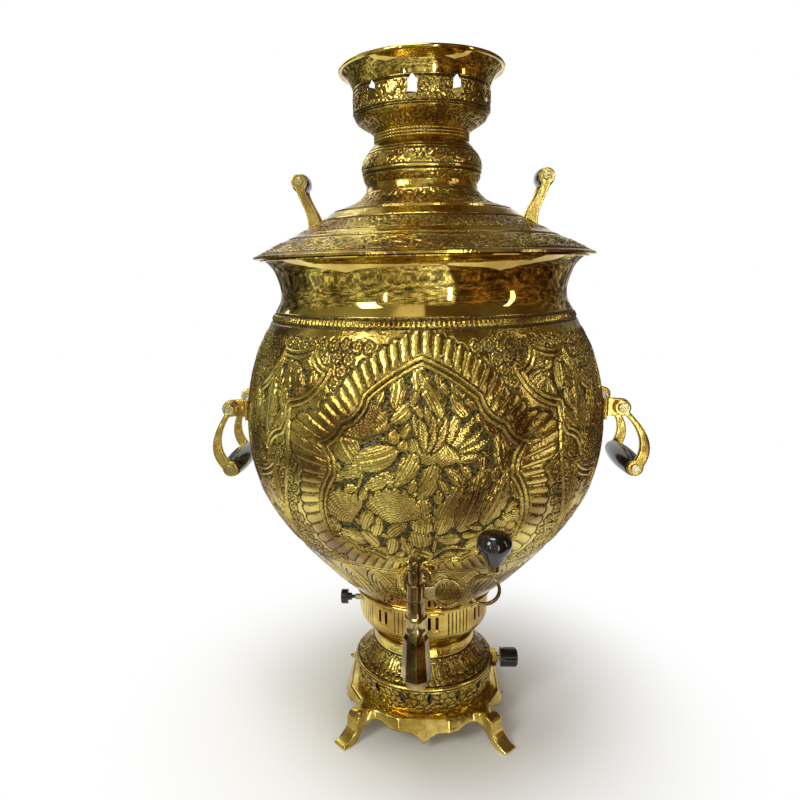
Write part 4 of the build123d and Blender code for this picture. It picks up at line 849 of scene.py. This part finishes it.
def rim(work, nearest, inside, width=3.4, gap=5.0, lift=2.2):
    """A double ridge along an outline, with a dark groove between its two lines."""
    for far in (0.0, gap):
        away = np.abs(nearest - far)
        band = inside if far else np.ones(inside.shape, bool)
        height = lift * np.sqrt(np.clip(1 - (2 * away / width) ** 2, 0, 1))
        mask = (away < width / 2) & band
        work.height[mask] = 0.3 + height[mask]
        work.hatch[mask] = 0.0
        groove = band & (away >= width / 2) & (away < width / 2 + 0.9)
        work.height[groove] = 0.0


def bird(work, x, y, size, side=1):
    """A bird with its wings lifted; side is 1 if it looks to the right."""
    def feather(dx, dy, turn, length, width, bend):
        heading = turn if side > 0 else 180 - turn
        work.leaf(x + side * dx * size, y + dy * size, heading, length * size, width * size, side * bend,
                  2.0, 0, False)
    for turn in (150, 165, 182):
        feather(-0.25, -0.05, turn, 0.75, 0.16, -20)
    for number in range(5):
        feather(-0.10 + 0.05 * number, 0.05, 150 - 17 * number, 0.85 - 0.03 * number, 0.2, -28)
    feather(-0.42, -0.02, 8, 1.0, 0.42, 12)
    for number in range(3):
        feather(0.02 + 0.06 * number, 0.06, 128 - 16 * number, 0.6, 0.16, -25)
    feather(0.38, 0.10, 40, 0.34, 0.2, 20)
    feather(0.62, 0.30, -8, 0.22, 0.08, -10)
    head_x, head_y, radius = x + side * 0.6 * size, y + 0.3 * size, 0.11 * size
    head = work.near(head_x, head_y, 0.3 * size)
    r = np.hypot(head.across - head_x, head.up - head_y)
    head.press(r - radius, 2.0 * (0.6 + 0.4 * np.sqrt(np.clip(1 - (r / radius) ** 2, 0, 1))))


medallion = mirrored(scalloped([
    (0, 272, -3), (50, 240, 5), (70, 218, 7), (102, 200, 8), (81, 174, -9), (92, 106, 7), (66, 90, 5),
    (40, 84, 3), (0, 76, 0)]))
arch = scalloped([(85, 259, 8), (127, 226, 4), (138, 150, -4), (156, 80, 0)])
upper_panel = scalloped([
    (85, 259, 6), (107, 280, 4), (150, 274, 6), (188, 236, 4), (193, 193, 6), (160, 178, 5), (137, 200, -3),
    (127, 226, -8), (85, 259, 0)])
lower_panel = scalloped([(152, 172, 5), (196, 158, 8), (188, 118, 8), (160, 92, -3), (152, 172, 0)])
side_medallion = [(quarter - x, y) for x, y in mirrored(scalloped([
    (0, 288, 8), (58, 262, 8), (80, 214, 5), (68, 182, 5), (82, 140, 8), (58, 92, 6), (0, 72, 0)]))]


def petals(work, centre, nearest, inside):
    """Petals that fan out round a medallion, between it and the arch."""
    petal_count, reach, crest_width = 70, 25.0, 1.6
    phase = (np.arctan2(work.across - centre, work.up - field_middle) / tau * petal_count) % 1.0
    edge = reach - 3.0 * (1 - np.abs(np.sin(pi * phase)) ** 0.7)
    petal = np.clip(np.sin(pi * phase) * 1.25 - 0.2, 0, 1) ** 0.5
    swell = np.clip(nearest / 8.0, 0, 1) * np.clip((edge - nearest) / 3.0, 0, 1) ** 0.5
    outside = ~inside & (work.up > 70)
    band = outside & (nearest < edge)
    work.height[band] = (0.3 + 1.2 * petal * swell)[band]
    work.hatch[band] = 0.0
    work.height[outside & (nearest >= edge) & (nearest < edge + crest_width)] = 0.1


def spandrels(work):
    """Little punched florets over what is still plain, no two turned the same way."""
    plain = copy(work)
    plain.height = (work.height == tank_level).astype(float)
    for x, y, chance in cells(2 * quarter, 12.4, field_foot, field_top):
        free = plain.near(x, y, 5.5).height
        if free.size and free.mean() > 0.8:
            work.flower(x, y, chance.uniform(4.9, 6.3), 5, chance.uniform(0, 72), 1.7)


def fill(work):
    """Leaves of three sizes in whatever ground is left between the larger ones."""
    for length, width, room in ((34, 18, 10.0), (23, 13, 7.0), (14, 8, 4.5)):
        for x, y, chance in cells(2 * quarter, 1.15 * room, field_foot, field_top):
            part = work.near(x, y, room)
            bare = part.zone & (part.height == 0)
            sway = 50 * sin(x / 21) + 40 * cos(y / 17)
            turn = 90 + sway + chance.uniform(-30, 30) + 180 * chance.integers(2)
            bend, lobes = chance.uniform(15, 40) * chance.choice((-1, 1)), int(chance.choice((0, 0, 3, 5)))
            if bare.size and bare.mean() > 0.85:
                work.leaf_on(x, y, turn, length, width, bend, 2.2, lobes if length > 20 else 0)


def lower_border(work):
    """Tall pointed petals rise from the tank's foot under the medallions."""
    petal_count, foot, top = 28, 8, 62.0
    pitch = quarter * 4 / petal_count
    place = work.across / pitch % 1.0 - 0.5
    for inset, lift in ((0.0, 1.4), (0.12, 1.1), (0.24, 1.5)):
        reach = top * (1 - 1.2 * inset)
        rise = np.clip(work.up - foot, 0, None) / (reach - foot)
        half = (0.5 - inset) * np.sqrt(np.clip(1 - rise**2.2, 0, 1))
        beyond = (np.abs(place) - half) * pitch
        zone = (work.up > foot - 2) & (work.up < reach) & (beyond < 0)
        work.height[zone] = 0.7 + lift * 0.4
        work.height[zone & (beyond > -1.6)] = 0.0
    work.height[(work.up > foot) & (work.up < 40) & (np.abs(place) < 0.04)] = 0.1


def leaves(work, side, table):
    """Leaves as (x, y, turn, length, width, bend, lobes), or their mirror image if side is -1."""
    for x, y, turn, length, width, bend, lobes in table:
        heading = turn if side > 0 else 180 - turn
        work.leaf(side * x, y, heading, length, width, side * bend, 2.3, lobes)


def front_flowers(work):
    """What fills the front medallion, and the one at the back."""
    work.stem([(-4, 84), (-14, 108), (-40, 118), (-64, 138), (-52, 172), (-54, 205)], 3.4)
    work.stem([(4, 84), (24, 104), (52, 100), (80, 112)], 3.4)
    work.stem([(10, 100), (18, 140), (40, 170), (70, 190), (78, 212)], 3.2)
    leaves(work, 1, (
        (-76, 222, -72, 46, 30, 22, 0), (-58, 186, 4, 42, 22, 28, 0), (-82, 214, 40, 24, 12, -30, 0),
        (-24, 230, 70, 32, 15, 30, 3), (-66, 172, 170, 28, 17, -30, 0), (-88, 146, 72, 30, 14, 20, 0),
        (-36, 176, -30, 24, 13, 30, 0), (-52, 112, 190, 40, 20, -32, 4), (-12, 96, 120, 24, 13, -30, 0),
        (-2, 104, 92, 24, 24, 10, 3), (0, 121, 88, 24, 26, -8, 3), (-2, 138, 94, 26, 22, 8, 3),
        (14, 120, 76, 58, 24, -16, 7), (32, 122, 66, 64, 26, 14, 7), (52, 128, 58, 56, 22, 22, 6),
        (40, 104, 24, 36, 16, 40, 3), (16, 92, 5, 28, 13, -30, 0), (84, 150, 100, 32, 16, -20, 3),
        (66, 176, 84, 36, 17, 30, 3), (92, 178, 120, 30, 15, -20, 0), (58, 216, 60, 34, 16, 40, 3),
        (34, 238, 110, 30, 14, -30, 0), (-2, 240, 84, 30, 16, 30, 3)))
    work.fan(-50, 204, 98, 36, 150, 9, 2.4)
    work.fan(-66, 128, 118, 34, 130, 9, 2.4)
    work.fan(-28, 130, 80, 36, 130, 9, 2.4)
    work.fan(-46, 84, 80, 22, 140, 7, 2.2)
    work.flower(82, 124, 18, 9, 0, 2.3)
    work.flower(40, 88, 11, 6, 0, 2.2)
    work.flower(-88, 122, 10, 6, 0, 2.2)
    bird(work, 8, 192, 52, -1)


def side_flowers(work):
    """What fills a side medallion. Half of it shows beside the front one."""
    for side in (-1, 1):
        work.stem([(0, 80), (side * 30, 104), (side * 56, 140), (side * 34, 186), (side * 50, 230)], 3.0)
        leaves(work, side, (
            (6, 92, 76, 50, 22, -24, 6), (36, 106, 10, 36, 17, 40, 4), (54, 144, 60, 38, 17, 30, 3),
            (46, 156, 150, 40, 18, -30, 5), (34, 190, 30, 38, 17, 30, 4), (28, 200, 118, 38, 17, 30, 3),
            (46, 228, 50, 30, 15, -40, 0), (20, 236, 100, 40, 16, -20, 4), (62, 120, 80, 24, 12, 20, 0),
            (14, 140, 70, 30, 15, 20, 0), (58, 204, 80, 26, 12, 20, 0)))
    work.flower(0, 200, 22, 9)
    work.fan(0, 240, 90, 38, 130, 11)
    work.fan(0, 96, 90, 34, 120, 9)
    work.flower(0, 154, 14, 7)


def panel_flowers(work):
    """What fills the small panels between the medallions."""
    for side in (1, -1):
        leaves(work, side, (
            (160, 190, 96, 66, 27, -12, 7), (156, 196, 146, 44, 17, -30, 4), (172, 200, 62, 42, 17, 30, 4),
            (132, 238, 66, 30, 15, 30, 0), (98, 262, 4, 34, 14, 30, 3), (148, 262, 150, 26, 11, -30, 0),
            (158, 98, 66, 66, 29, 10, 7), (156, 120, 100, 44, 17, 20, 4), (178, 104, 40, 34, 14, 40, 3),
            (184, 140, 80, 26, 12, -30, 0)))


def lay_out():
    """All the work of the front and right quarters, with a margin beyond each end."""
    columns = np.arange(-tank_columns / 2 - margin_columns, 1.5 * tank_columns + margin_columns + 1)
    work = Chasing(quarter / tank_columns * columns, distances(tank_line), tank_level)
    outlines = [(side_medallion, *work.away(side_medallion, closed=True))]
    # The front's design is laid out about the front and about the back
    for centre in (0.0, 2 * quarter):
        line = [(centre + x, y) for x, y in medallion]
        nearest, inside = work.away(line, closed=True)
        petals(work, centre, nearest, inside)
        outlines.append((line, nearest, inside))
        for side in (-1, 1):
            for line in (upper_panel, lower_panel):
                line = [(centre + side * x, y) for x, y in line]
                outlines.append((line, *work.away(line, closed=True)))
    for _, nearest, inside in outlines:
        work.height[inside] = 0.0
        work.hatch[inside] = 0.0
        work.zone |= inside & (nearest > 5.0)
    spandrels(work)
    lower_border(work)
    heights, hatches = work.height.copy(), work.hatch.copy()
    for centre in (0.0, 2 * quarter):
        front_flowers(work.moved(centre))
        panel_flowers(work.moved(centre))
    side_flowers(work.moved(quarter))
    fill(work)
    # What runs over an outline is dressed back to it
    outside = ~np.any([inside for _, _, inside in outlines], axis=0)
    work.height[outside], work.hatch[outside] = heights[outside], hatches[outside]
    for centre in (0.0, 2 * quarter):
        for side in (-1, 1):
            nearest, _ = work.away([(centre + side * x, y) for x, y in arch])
            rim(work, nearest, np.zeros(nearest.shape, bool), width=3.2)
    for _, nearest, inside in outlines:
        rim(work, nearest, inside)
    beads = (work.up > 298) & (work.up < 303)
    work.height[beads] = (0.3 + 1.3 * np.abs(np.sin(pi * work.across / 5.0)))[beads]
    work.rings((64.0, 67.5, 296.5, 304.5), 0.7, 0.1)
    return work


# The front and the right quarter are chased, and the back and the left one are their copies
quarters = {}
work = lay_out()
for name, number, start in (("front", -0.5, 0), ("right", 0.5, tank_columns)):
    first = number * pi / 2
    columns = slice(margin_columns + start, margin_columns + start + tank_columns + 1)
    shape = spin_up(walled(tank_line, tank_wall, 13), tank_columns, first, pi / 2)
    piece = make_object(f"tank_{name}", shape)
    raise_work(piece.data, tank_line, work.cut(slice(None), columns), first, pi / 2, tank_level)
    quarters[name] = piece
for name, source in (("back", "front"), ("left", "right")):
    mesh = quarters[source].data.copy()
    mesh.transform(Matrix.Rotation(pi, 4, "Z"))
    quarters[name] = bpy.data.objects.new(f"tank_{name}", mesh)
    bpy.context.scene.collection.objects.link(quarters[name])
for piece in quarters.values():
    dress(piece, chased_brass, "tank", "chased_brass", "tank_shell")

# Collar
# The tank's neck, spun from 1.5 mm brass sheet and left plain and bright. It is soldered to the tank, and
# the lid closes on its rolled lip.


def bright_sheet(node, section, columns, body, sharp):
    """A plain spun sheet that stands for the node."""
    piece = make_object(f"{node}_sheet", spin_up(section, columns), sharp)
    piece.data.attributes.remove(piece.data.attributes["row"])
    dress(piece, polished_brass, body, "polished_brass", node)


collar_wall = 1.5
lip_radius, _, collar_top = millimetres("collar")
rise = collar_top - tank_top
collar_line = curve_through([
    (tank_neck_radius, tank_top), (144.2, tank_top + 0.16 * rise), (143.0, tank_top + 0.36 * rise),
    (146.0, tank_top + 0.62 * rise), (152.0, tank_top + 0.86 * rise), (lip_radius - 1.5, collar_top)], 48)
lip = [(lip_radius - 0.5, collar_top - 1.6), (lip_radius, collar_top - 0.7), (lip_radius - 0.5, collar_top)]
inner = walled(collar_line, collar_wall)[len(collar_line):]
bright_sheet("collar", np.vstack([collar_line[:-2], lip, inner]), 256, "tank", 50)

# Lid
# Spun in steps from 1.2 mm brass sheet with a turned edge, and engraved with a scroll of leaves between its
# rings. The flat top, which seats the crown, is left plain round the hole for the flue.
lid_radius, lid_foot, lid_top = millimetres("lid")
step_radius, slope_radius, crown_seat_radius, flue_hole_radius = 128.6, 124.6, 91.6, 34.0
girth_radius, lid_columns = 140.0, 588
lid_line = in_steps(joined(
    [(lid_radius, lid_foot), (lid_radius, lid_foot + 2.0), (step_radius, lid_foot + 21.5),
     (slope_radius, lid_foot + 24.0)],
    curve_through([(slope_radius, lid_foot + 24.0), (107.6, lid_foot + 32.0),
                   (crown_seat_radius, lid_top)], 30),
    [(crown_seat_radius, lid_top), (flue_hole_radius, lid_top)]), 1.0)
work = unrolled(lid_line, girth_radius, lid_columns)
engrave(work, 8.5, 10, 36, 0.4, 0.35)
engrave(work, 8.0, 52, 74, 0.4, 0.35)
scrolls = 24
pitch = tau * girth_radius / scrolls
for number in range(scrolls):
    x = (number + 0.5) * pitch
    flip = 1 if number % 2 else -1
    scroll = [(x - pitch / 2, 22), (x - 6, 22 + flip * 9), (x + 8, 22 + flip * 4), (x + pitch / 2, 22)]
    work.stem(scroll, 1.8, 0.4)
    work.leaf(x - 4, 22 + flip * 6, -flip * 60, 13, 8, flip * 50, 0.6, pitch=2.0)
    work.leaf(x + 6, 22 + flip * 5, flip * 20, 12, 7, -flip * 50, 0.6, pitch=2.0)
    work.leaf(x, 57 + flip * 4, -flip * 70, 13, 8, flip * 40, 0.5, pitch=2.0)
    work.leaf(x + 9, 60, flip * 30, 13, 7, -flip * 40, 0.5, pitch=2.0)
work.rings((6.0, 8.5, 38.0, 40.5, 51.0, 76.0), 0.7, -0.6)
engraved_sheet("lid", spin_up(walled(lid_line, sheet_wall), lid_columns), lid_line, work, "lid")

# Crown
# The neck that goes over the flue, three rope beads, the bowl with its ring of pointed slots, and the flared
# rim that the teapot stands in: brass, spun or cast, engraved, and soldered together to lift off as one.
neck_foot_radius, crown_foot, _ = millimetres("crown_neck")
_, beads_foot, beads_top = millimetres("crown_beads")
neck_waist_radius, bowl_foot_radius = 53.5, 45.5
neck_radius, neck_columns = 58.0, 384
neck_line = joined(
    [(neck_foot_radius, crown_foot), (neck_foot_radius, crown_foot + 2.0)],
    curve_through([(neck_foot_radius, crown_foot + 2.0), (74.5, crown_foot + 6.0), (62.0, crown_foot + 12.5),
                   (neck_waist_radius, crown_foot + 25.5)], 36),
    curve_through([(neck_waist_radius, crown_foot + 25.5), (58.0, crown_foot + 34.0),
                   (59.0, crown_foot + 44.0), (54.0, crown_foot + 56.0),
                   (bowl_foot_radius, beads_foot)], 48))
work = unrolled(neck_line, neck_radius, neck_columns)
for pitch, low, high in ((7.5, 8, 38), (6.5, 46, 56), (6.5, 64, 77)):
    engrave(work, pitch, low, high)
sprays = 14
for number in range(sprays):
    x = (number + 0.5) * tau * neck_radius / sprays
    work.flower(x, 24, 8, 6, 0, 0.7)
    work.leaf(x + 13, 16, 90, 17, 7, 0, 0.6)
    work.leaf(x - 6, 66, 30, 13, 6, 40, 0.5, pitch=2.0)
    work.leaf(x + 8, 70, 200, 13, 6, 40, 0.5, pitch=2.0)
work.rings((4.0, 40.0, 44.0, 58.0, 62.0, 78.0, 82.0), 0.6, -0.5)
engraved_sheet("crown_neck", spin_up(walled(neck_line, sheet_wall), neck_columns), neck_line, work, "crown")

bead_radius, bead_count, bead_notches = 46.9, 3, 90
bead_rise = (beads_top - beads_foot) / bead_count
for number in range(bead_count):
    foot = beads_foot + number * bead_rise
    name = f"crown_bead_{number + 1}"
    piece = bead(bead_radius, foot, foot + bead_rise, 42.0, name, 10, bead_notches, 0.5)
    dress(piece, cast_brass, "crown", "cast_brass", "crown_beads")

bowl_radius, bowl_foot, bowl_top = millimetres("crown_bowl")
bowl_shoulder, bowl_columns = bowl_foot + 18.0, 400
bowl_line = in_steps(joined(
    curve_through([(bowl_foot_radius, bowl_foot), (54.5, bowl_foot + 6.4), (64.0, bowl_foot + 13.2),
                   (bowl_radius, bowl_shoulder)], 28),
    [(bowl_radius, bowl_shoulder), (bowl_radius, bowl_top)]), 0.9)
slot_count, slot_turn, slot_width, slot_height, slot_point = 10, -7.0, 9.0, 21.0, 4.0
slot_middle = (bowl_shoulder + bowl_top) / 2
side, tip = slot_height / 2 - slot_point, slot_height / 2
slot = [(across * slot_width / 2, slot_middle + up) for across, up in (
    (1, -side), (1, side), (0, tip), (-1, side), (-1, -side), (0, -tip))]
work = unrolled(bowl_line, bowl_radius, bowl_columns)
sheet_top = work.up[-1, 0]
engrave(work, 7.0, 2, 23)
engrave(work, 6.0, 29, sheet_top - 6)
girth = tau * bowl_radius
for number in range(slot_count):
    x = (radians(slot_turn) * bowl_radius + (number + 0.5) * girth / slot_count) % girth
    for turn, bend in ((60, 40), (90, 0), (120, -40)):
        work.leaf(x, 34, turn, 13, 5, bend, 0.6, pitch=2.0)
    for dx, turn in ((-5, 200), (5, -20)):
        work.leaf(x + dx, 34, turn, 6, 3, 0, 0.5, spine=False)
    for dx in (-14, 0, 14):
        work.leaf(x + dx, 10, 70, 12, 6, 50, 0.5, pitch=2.0)
        work.leaf(x + dx + 5, 20, 200, 10, 5, 50, 0.5, pitch=2.0)
work.rings((25.0, 27.5, sheet_top - 2.2), 0.6, -0.5)
shape = spin_open(bowl_line, bowl_columns, slot_count, slot_turn, [slot])
thicken(engraved_sheet("crown_bowl", shape, bowl_line, work, "crown"), sheet_wall)

roll_radius, roll_turns = 2.0, range(50, 300, 25)
rim_radius, rim_top = 78.0, bowl_top + 17.5
rim_line = curve_through([(bowl_radius, bowl_top), (69.5, bowl_top + 7.9), (rim_radius, rim_top)], 20)
roll = [(rim_radius + roll_radius * sin(radians(turn)), rim_top - roll_radius * cos(radians(turn)))
        for turn in roll_turns]
inner = walled(rim_line, sheet_wall, 4)[len(rim_line) + 1:]
bright_sheet("crown_rim", np.vstack([rim_line[:-1], roll, inner]), 240, "crown", 60)

# Handles, tap, gas line and igniter
# Cast arms and brackets with soft edges, turned and moulded parts with their hard edges eased, black grips
# and knobs, and steel screws. Each rides on the body that it moves with.
hard_edge = 32


def clean_copy(name, node):
    """A copy of a solid with each flat face in one piece."""
    shape = merged(node)
    bmesh.ops.dissolve_limit(shape, angle_limit=radians(0.5), verts=shape.verts, edges=shape.edges)
    return make_object(name, shape, sharp=hard_edge)


def eased_copy(name, node, ease):
    """A copy of a solid with its hard edges eased, as a file or a tumbling barrel leaves them."""
    piece = clean_copy(name, node)
    bevel = piece.modifiers.new("ease", "BEVEL")
    bevel.width, bevel.segments, bevel.angle_limit = ease, 2, radians(hard_edge)
    piece.modifiers.new("even", "WEIGHTED_NORMAL").keep_sharp = True
    return piece


def moulded(name, speckle, grain, stops, shine):
    """A moulded or fired material: speckle is the noise that colours it by the stops, grain the depth of its
    skin in metres, and shine what makes its gloss."""
    material, add = new_material(name)
    place = add("TexCoord").outputs["Object"]
    skin = add("TexNoise", {"Vector": place, **speckle})
    tone = add("ValToRGB", {"Fac": skin}, stops=stops)
    bump = add("Bump", {"Height": skin, "Distance": grain, "Strength": 1.0})
    surface = add("BsdfPrincipled", {"Base Color": tone, "Normal": bump, **shine})
    add("OutputMaterial", {"Surface": surface})
    return material


# Moulded phenolic, polished: black, with a hard wet shine and faint swirls some 17 mm across
bakelite = moulded("black_bakelite", {"Scale": 60.0, "Detail": 4.0}, 0.0,
                   [(0.3, "#0B0A0A"), (0.8, "#1D1A19")], {"Roughness": 0.12, "IOR": 1.6})
# Moulded rubber: black and matt, with a soft sheen; its grain of about 1 mm is coarser than real, to show
rubber = moulded("rubber", {"Scale": 900.0, "Detail": 3.0}, 0.0001,
                 [(0.3, "#141414"), (0.7, "#232221")], {"Roughness": 0.6})
# Glazed ceramic: ivory white and glossy, with clouds some 3 mm across
ceramic = moulded("glazed_ceramic", {"Scale": 300.0, "Detail": 3.0}, 0.0,
                  [(0.3, "#DAD4C4"), (0.7, "#EFEBDF")], {"Roughness": 0.18})
# Brass washed with nickel and darkened: brown-grey with a glassy shine
antique_brass = metal("antique_brass", ("#BBA876", "#86703F", "#5C4A2C"), 0.02, (0.06, 0.2), 0.0004, 0.01)
# Steel, zinc plated and passivated yellow: pale straw, finely brushed
steel = metal("plated_steel", ("#C4B98E", "#9A8E62"), 0.02, (0.2, 0.35), brushed=0.0001)
# Sheet copper tinned inside: grey and slightly mottled
tinned_copper = metal("tinned_copper", ("#B5B1A8", "#8F8B84"), 0.015, (0.3, 0.5), 0.0003, 0.01)
# Sand cast iron, heat blacked: dark, rough and pitted
cast_iron = metal("cast_iron", ("#3A3836", "#242322"), 0.01, (0.55, 0.75), 0.0008, 0.003)

finishes = {
    "polished_brass": polished_brass, "chased_brass": chased_brass, "cast_brass": cast_brass,
    "antique_brass": antique_brass, "black_bakelite": bakelite, "steel": steel,
    "tinned_copper": tinned_copper, "cast_iron": cast_iron, "rubber": rubber, "ceramic": ceramic,
}
small_casting_grain = 0.00055
# (body, how far an edge is eased, or None for a casting that is soft all over, and the nodes), in metres
small_parts = (
    ("tank", None, ("left_handle_bracket", "right_handle_bracket")),
    ("left_handle", None, ("left_handle_arms",)),
    ("right_handle", None, ("right_handle_arms",)),
    ("lid", None, ("left_lid_handle_arms", "right_lid_handle_arms")),
    ("tap_handle", None, ("tap_key",)),
    ("tank", 0.0004, ("tap_bush", "tap_barrel", "tap_spout", "foot_screws", "gas_valve_body",
                      "gas_valve_nut", "hose_spigot", "left_handle_pivots", "right_handle_pivots")),
    ("tap_handle", 0.0003, ("tap_plug", "tap_plug_cap", "tap_knob_ferrule")),
    ("gas_handle", 0.0005, ("gas_knob",)),
    ("left_handle", 0.0004, ("left_handle_grip", "left_handle_rod")),
    ("right_handle", 0.0004, ("right_handle_grip", "right_handle_rod")),
    ("lid", 0.0004, ("left_lid_handle_grip", "left_lid_handle_rod", "right_lid_handle_grip",
                     "right_lid_handle_rod")),
)

# The rosette is fluted outside its plain middle, deeper towards its edge
flute_count, flute_depth, plain_radius, fade = 24, 0.0013, 0.009, 0.003
rosette = cast_copy("rosette_casting", "tap_rosette", small_casting_grain, 3)
low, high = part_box("tap_rosette")
middle = (low + high) / 2
for vert in rosette.data.vertices:
    across, up = vert.co.x - middle.x, vert.co.z - middle.z
    flute = 1 - abs(sin(flute_count / 2 * atan2(up, across))) ** 0.6
    vert.co.y += flute_depth * flute * min(1.0, max(0.0, (hypot(across, up) - plain_radius) / fade))
dress(rosette, cast_brass, "tank", "cast_brass", "tap_rosette")

spring = clean_copy("igniter_coil", "igniter_spring")
dress(spring, steel, "tank", "steel", "igniter_spring")
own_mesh(spring)

for body, ease, nodes in small_parts:
    for node in nodes:
        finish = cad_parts[node].material_slots[0].material.name
        name = f"{node}_piece"
        if ease is None:
            piece = cast_copy(name, node, small_casting_grain, 9)
        else:
            piece = eased_copy(name, node, ease)
        dress(piece, finishes[finish], body, finish, node)
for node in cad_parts.values():
    for place in node.material_slots:
        place.material = finishes[place.material.name]

low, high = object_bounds()
{"cad": [list(corner) for corner in cad_bounds], "visual": [list(low), list(high)]}
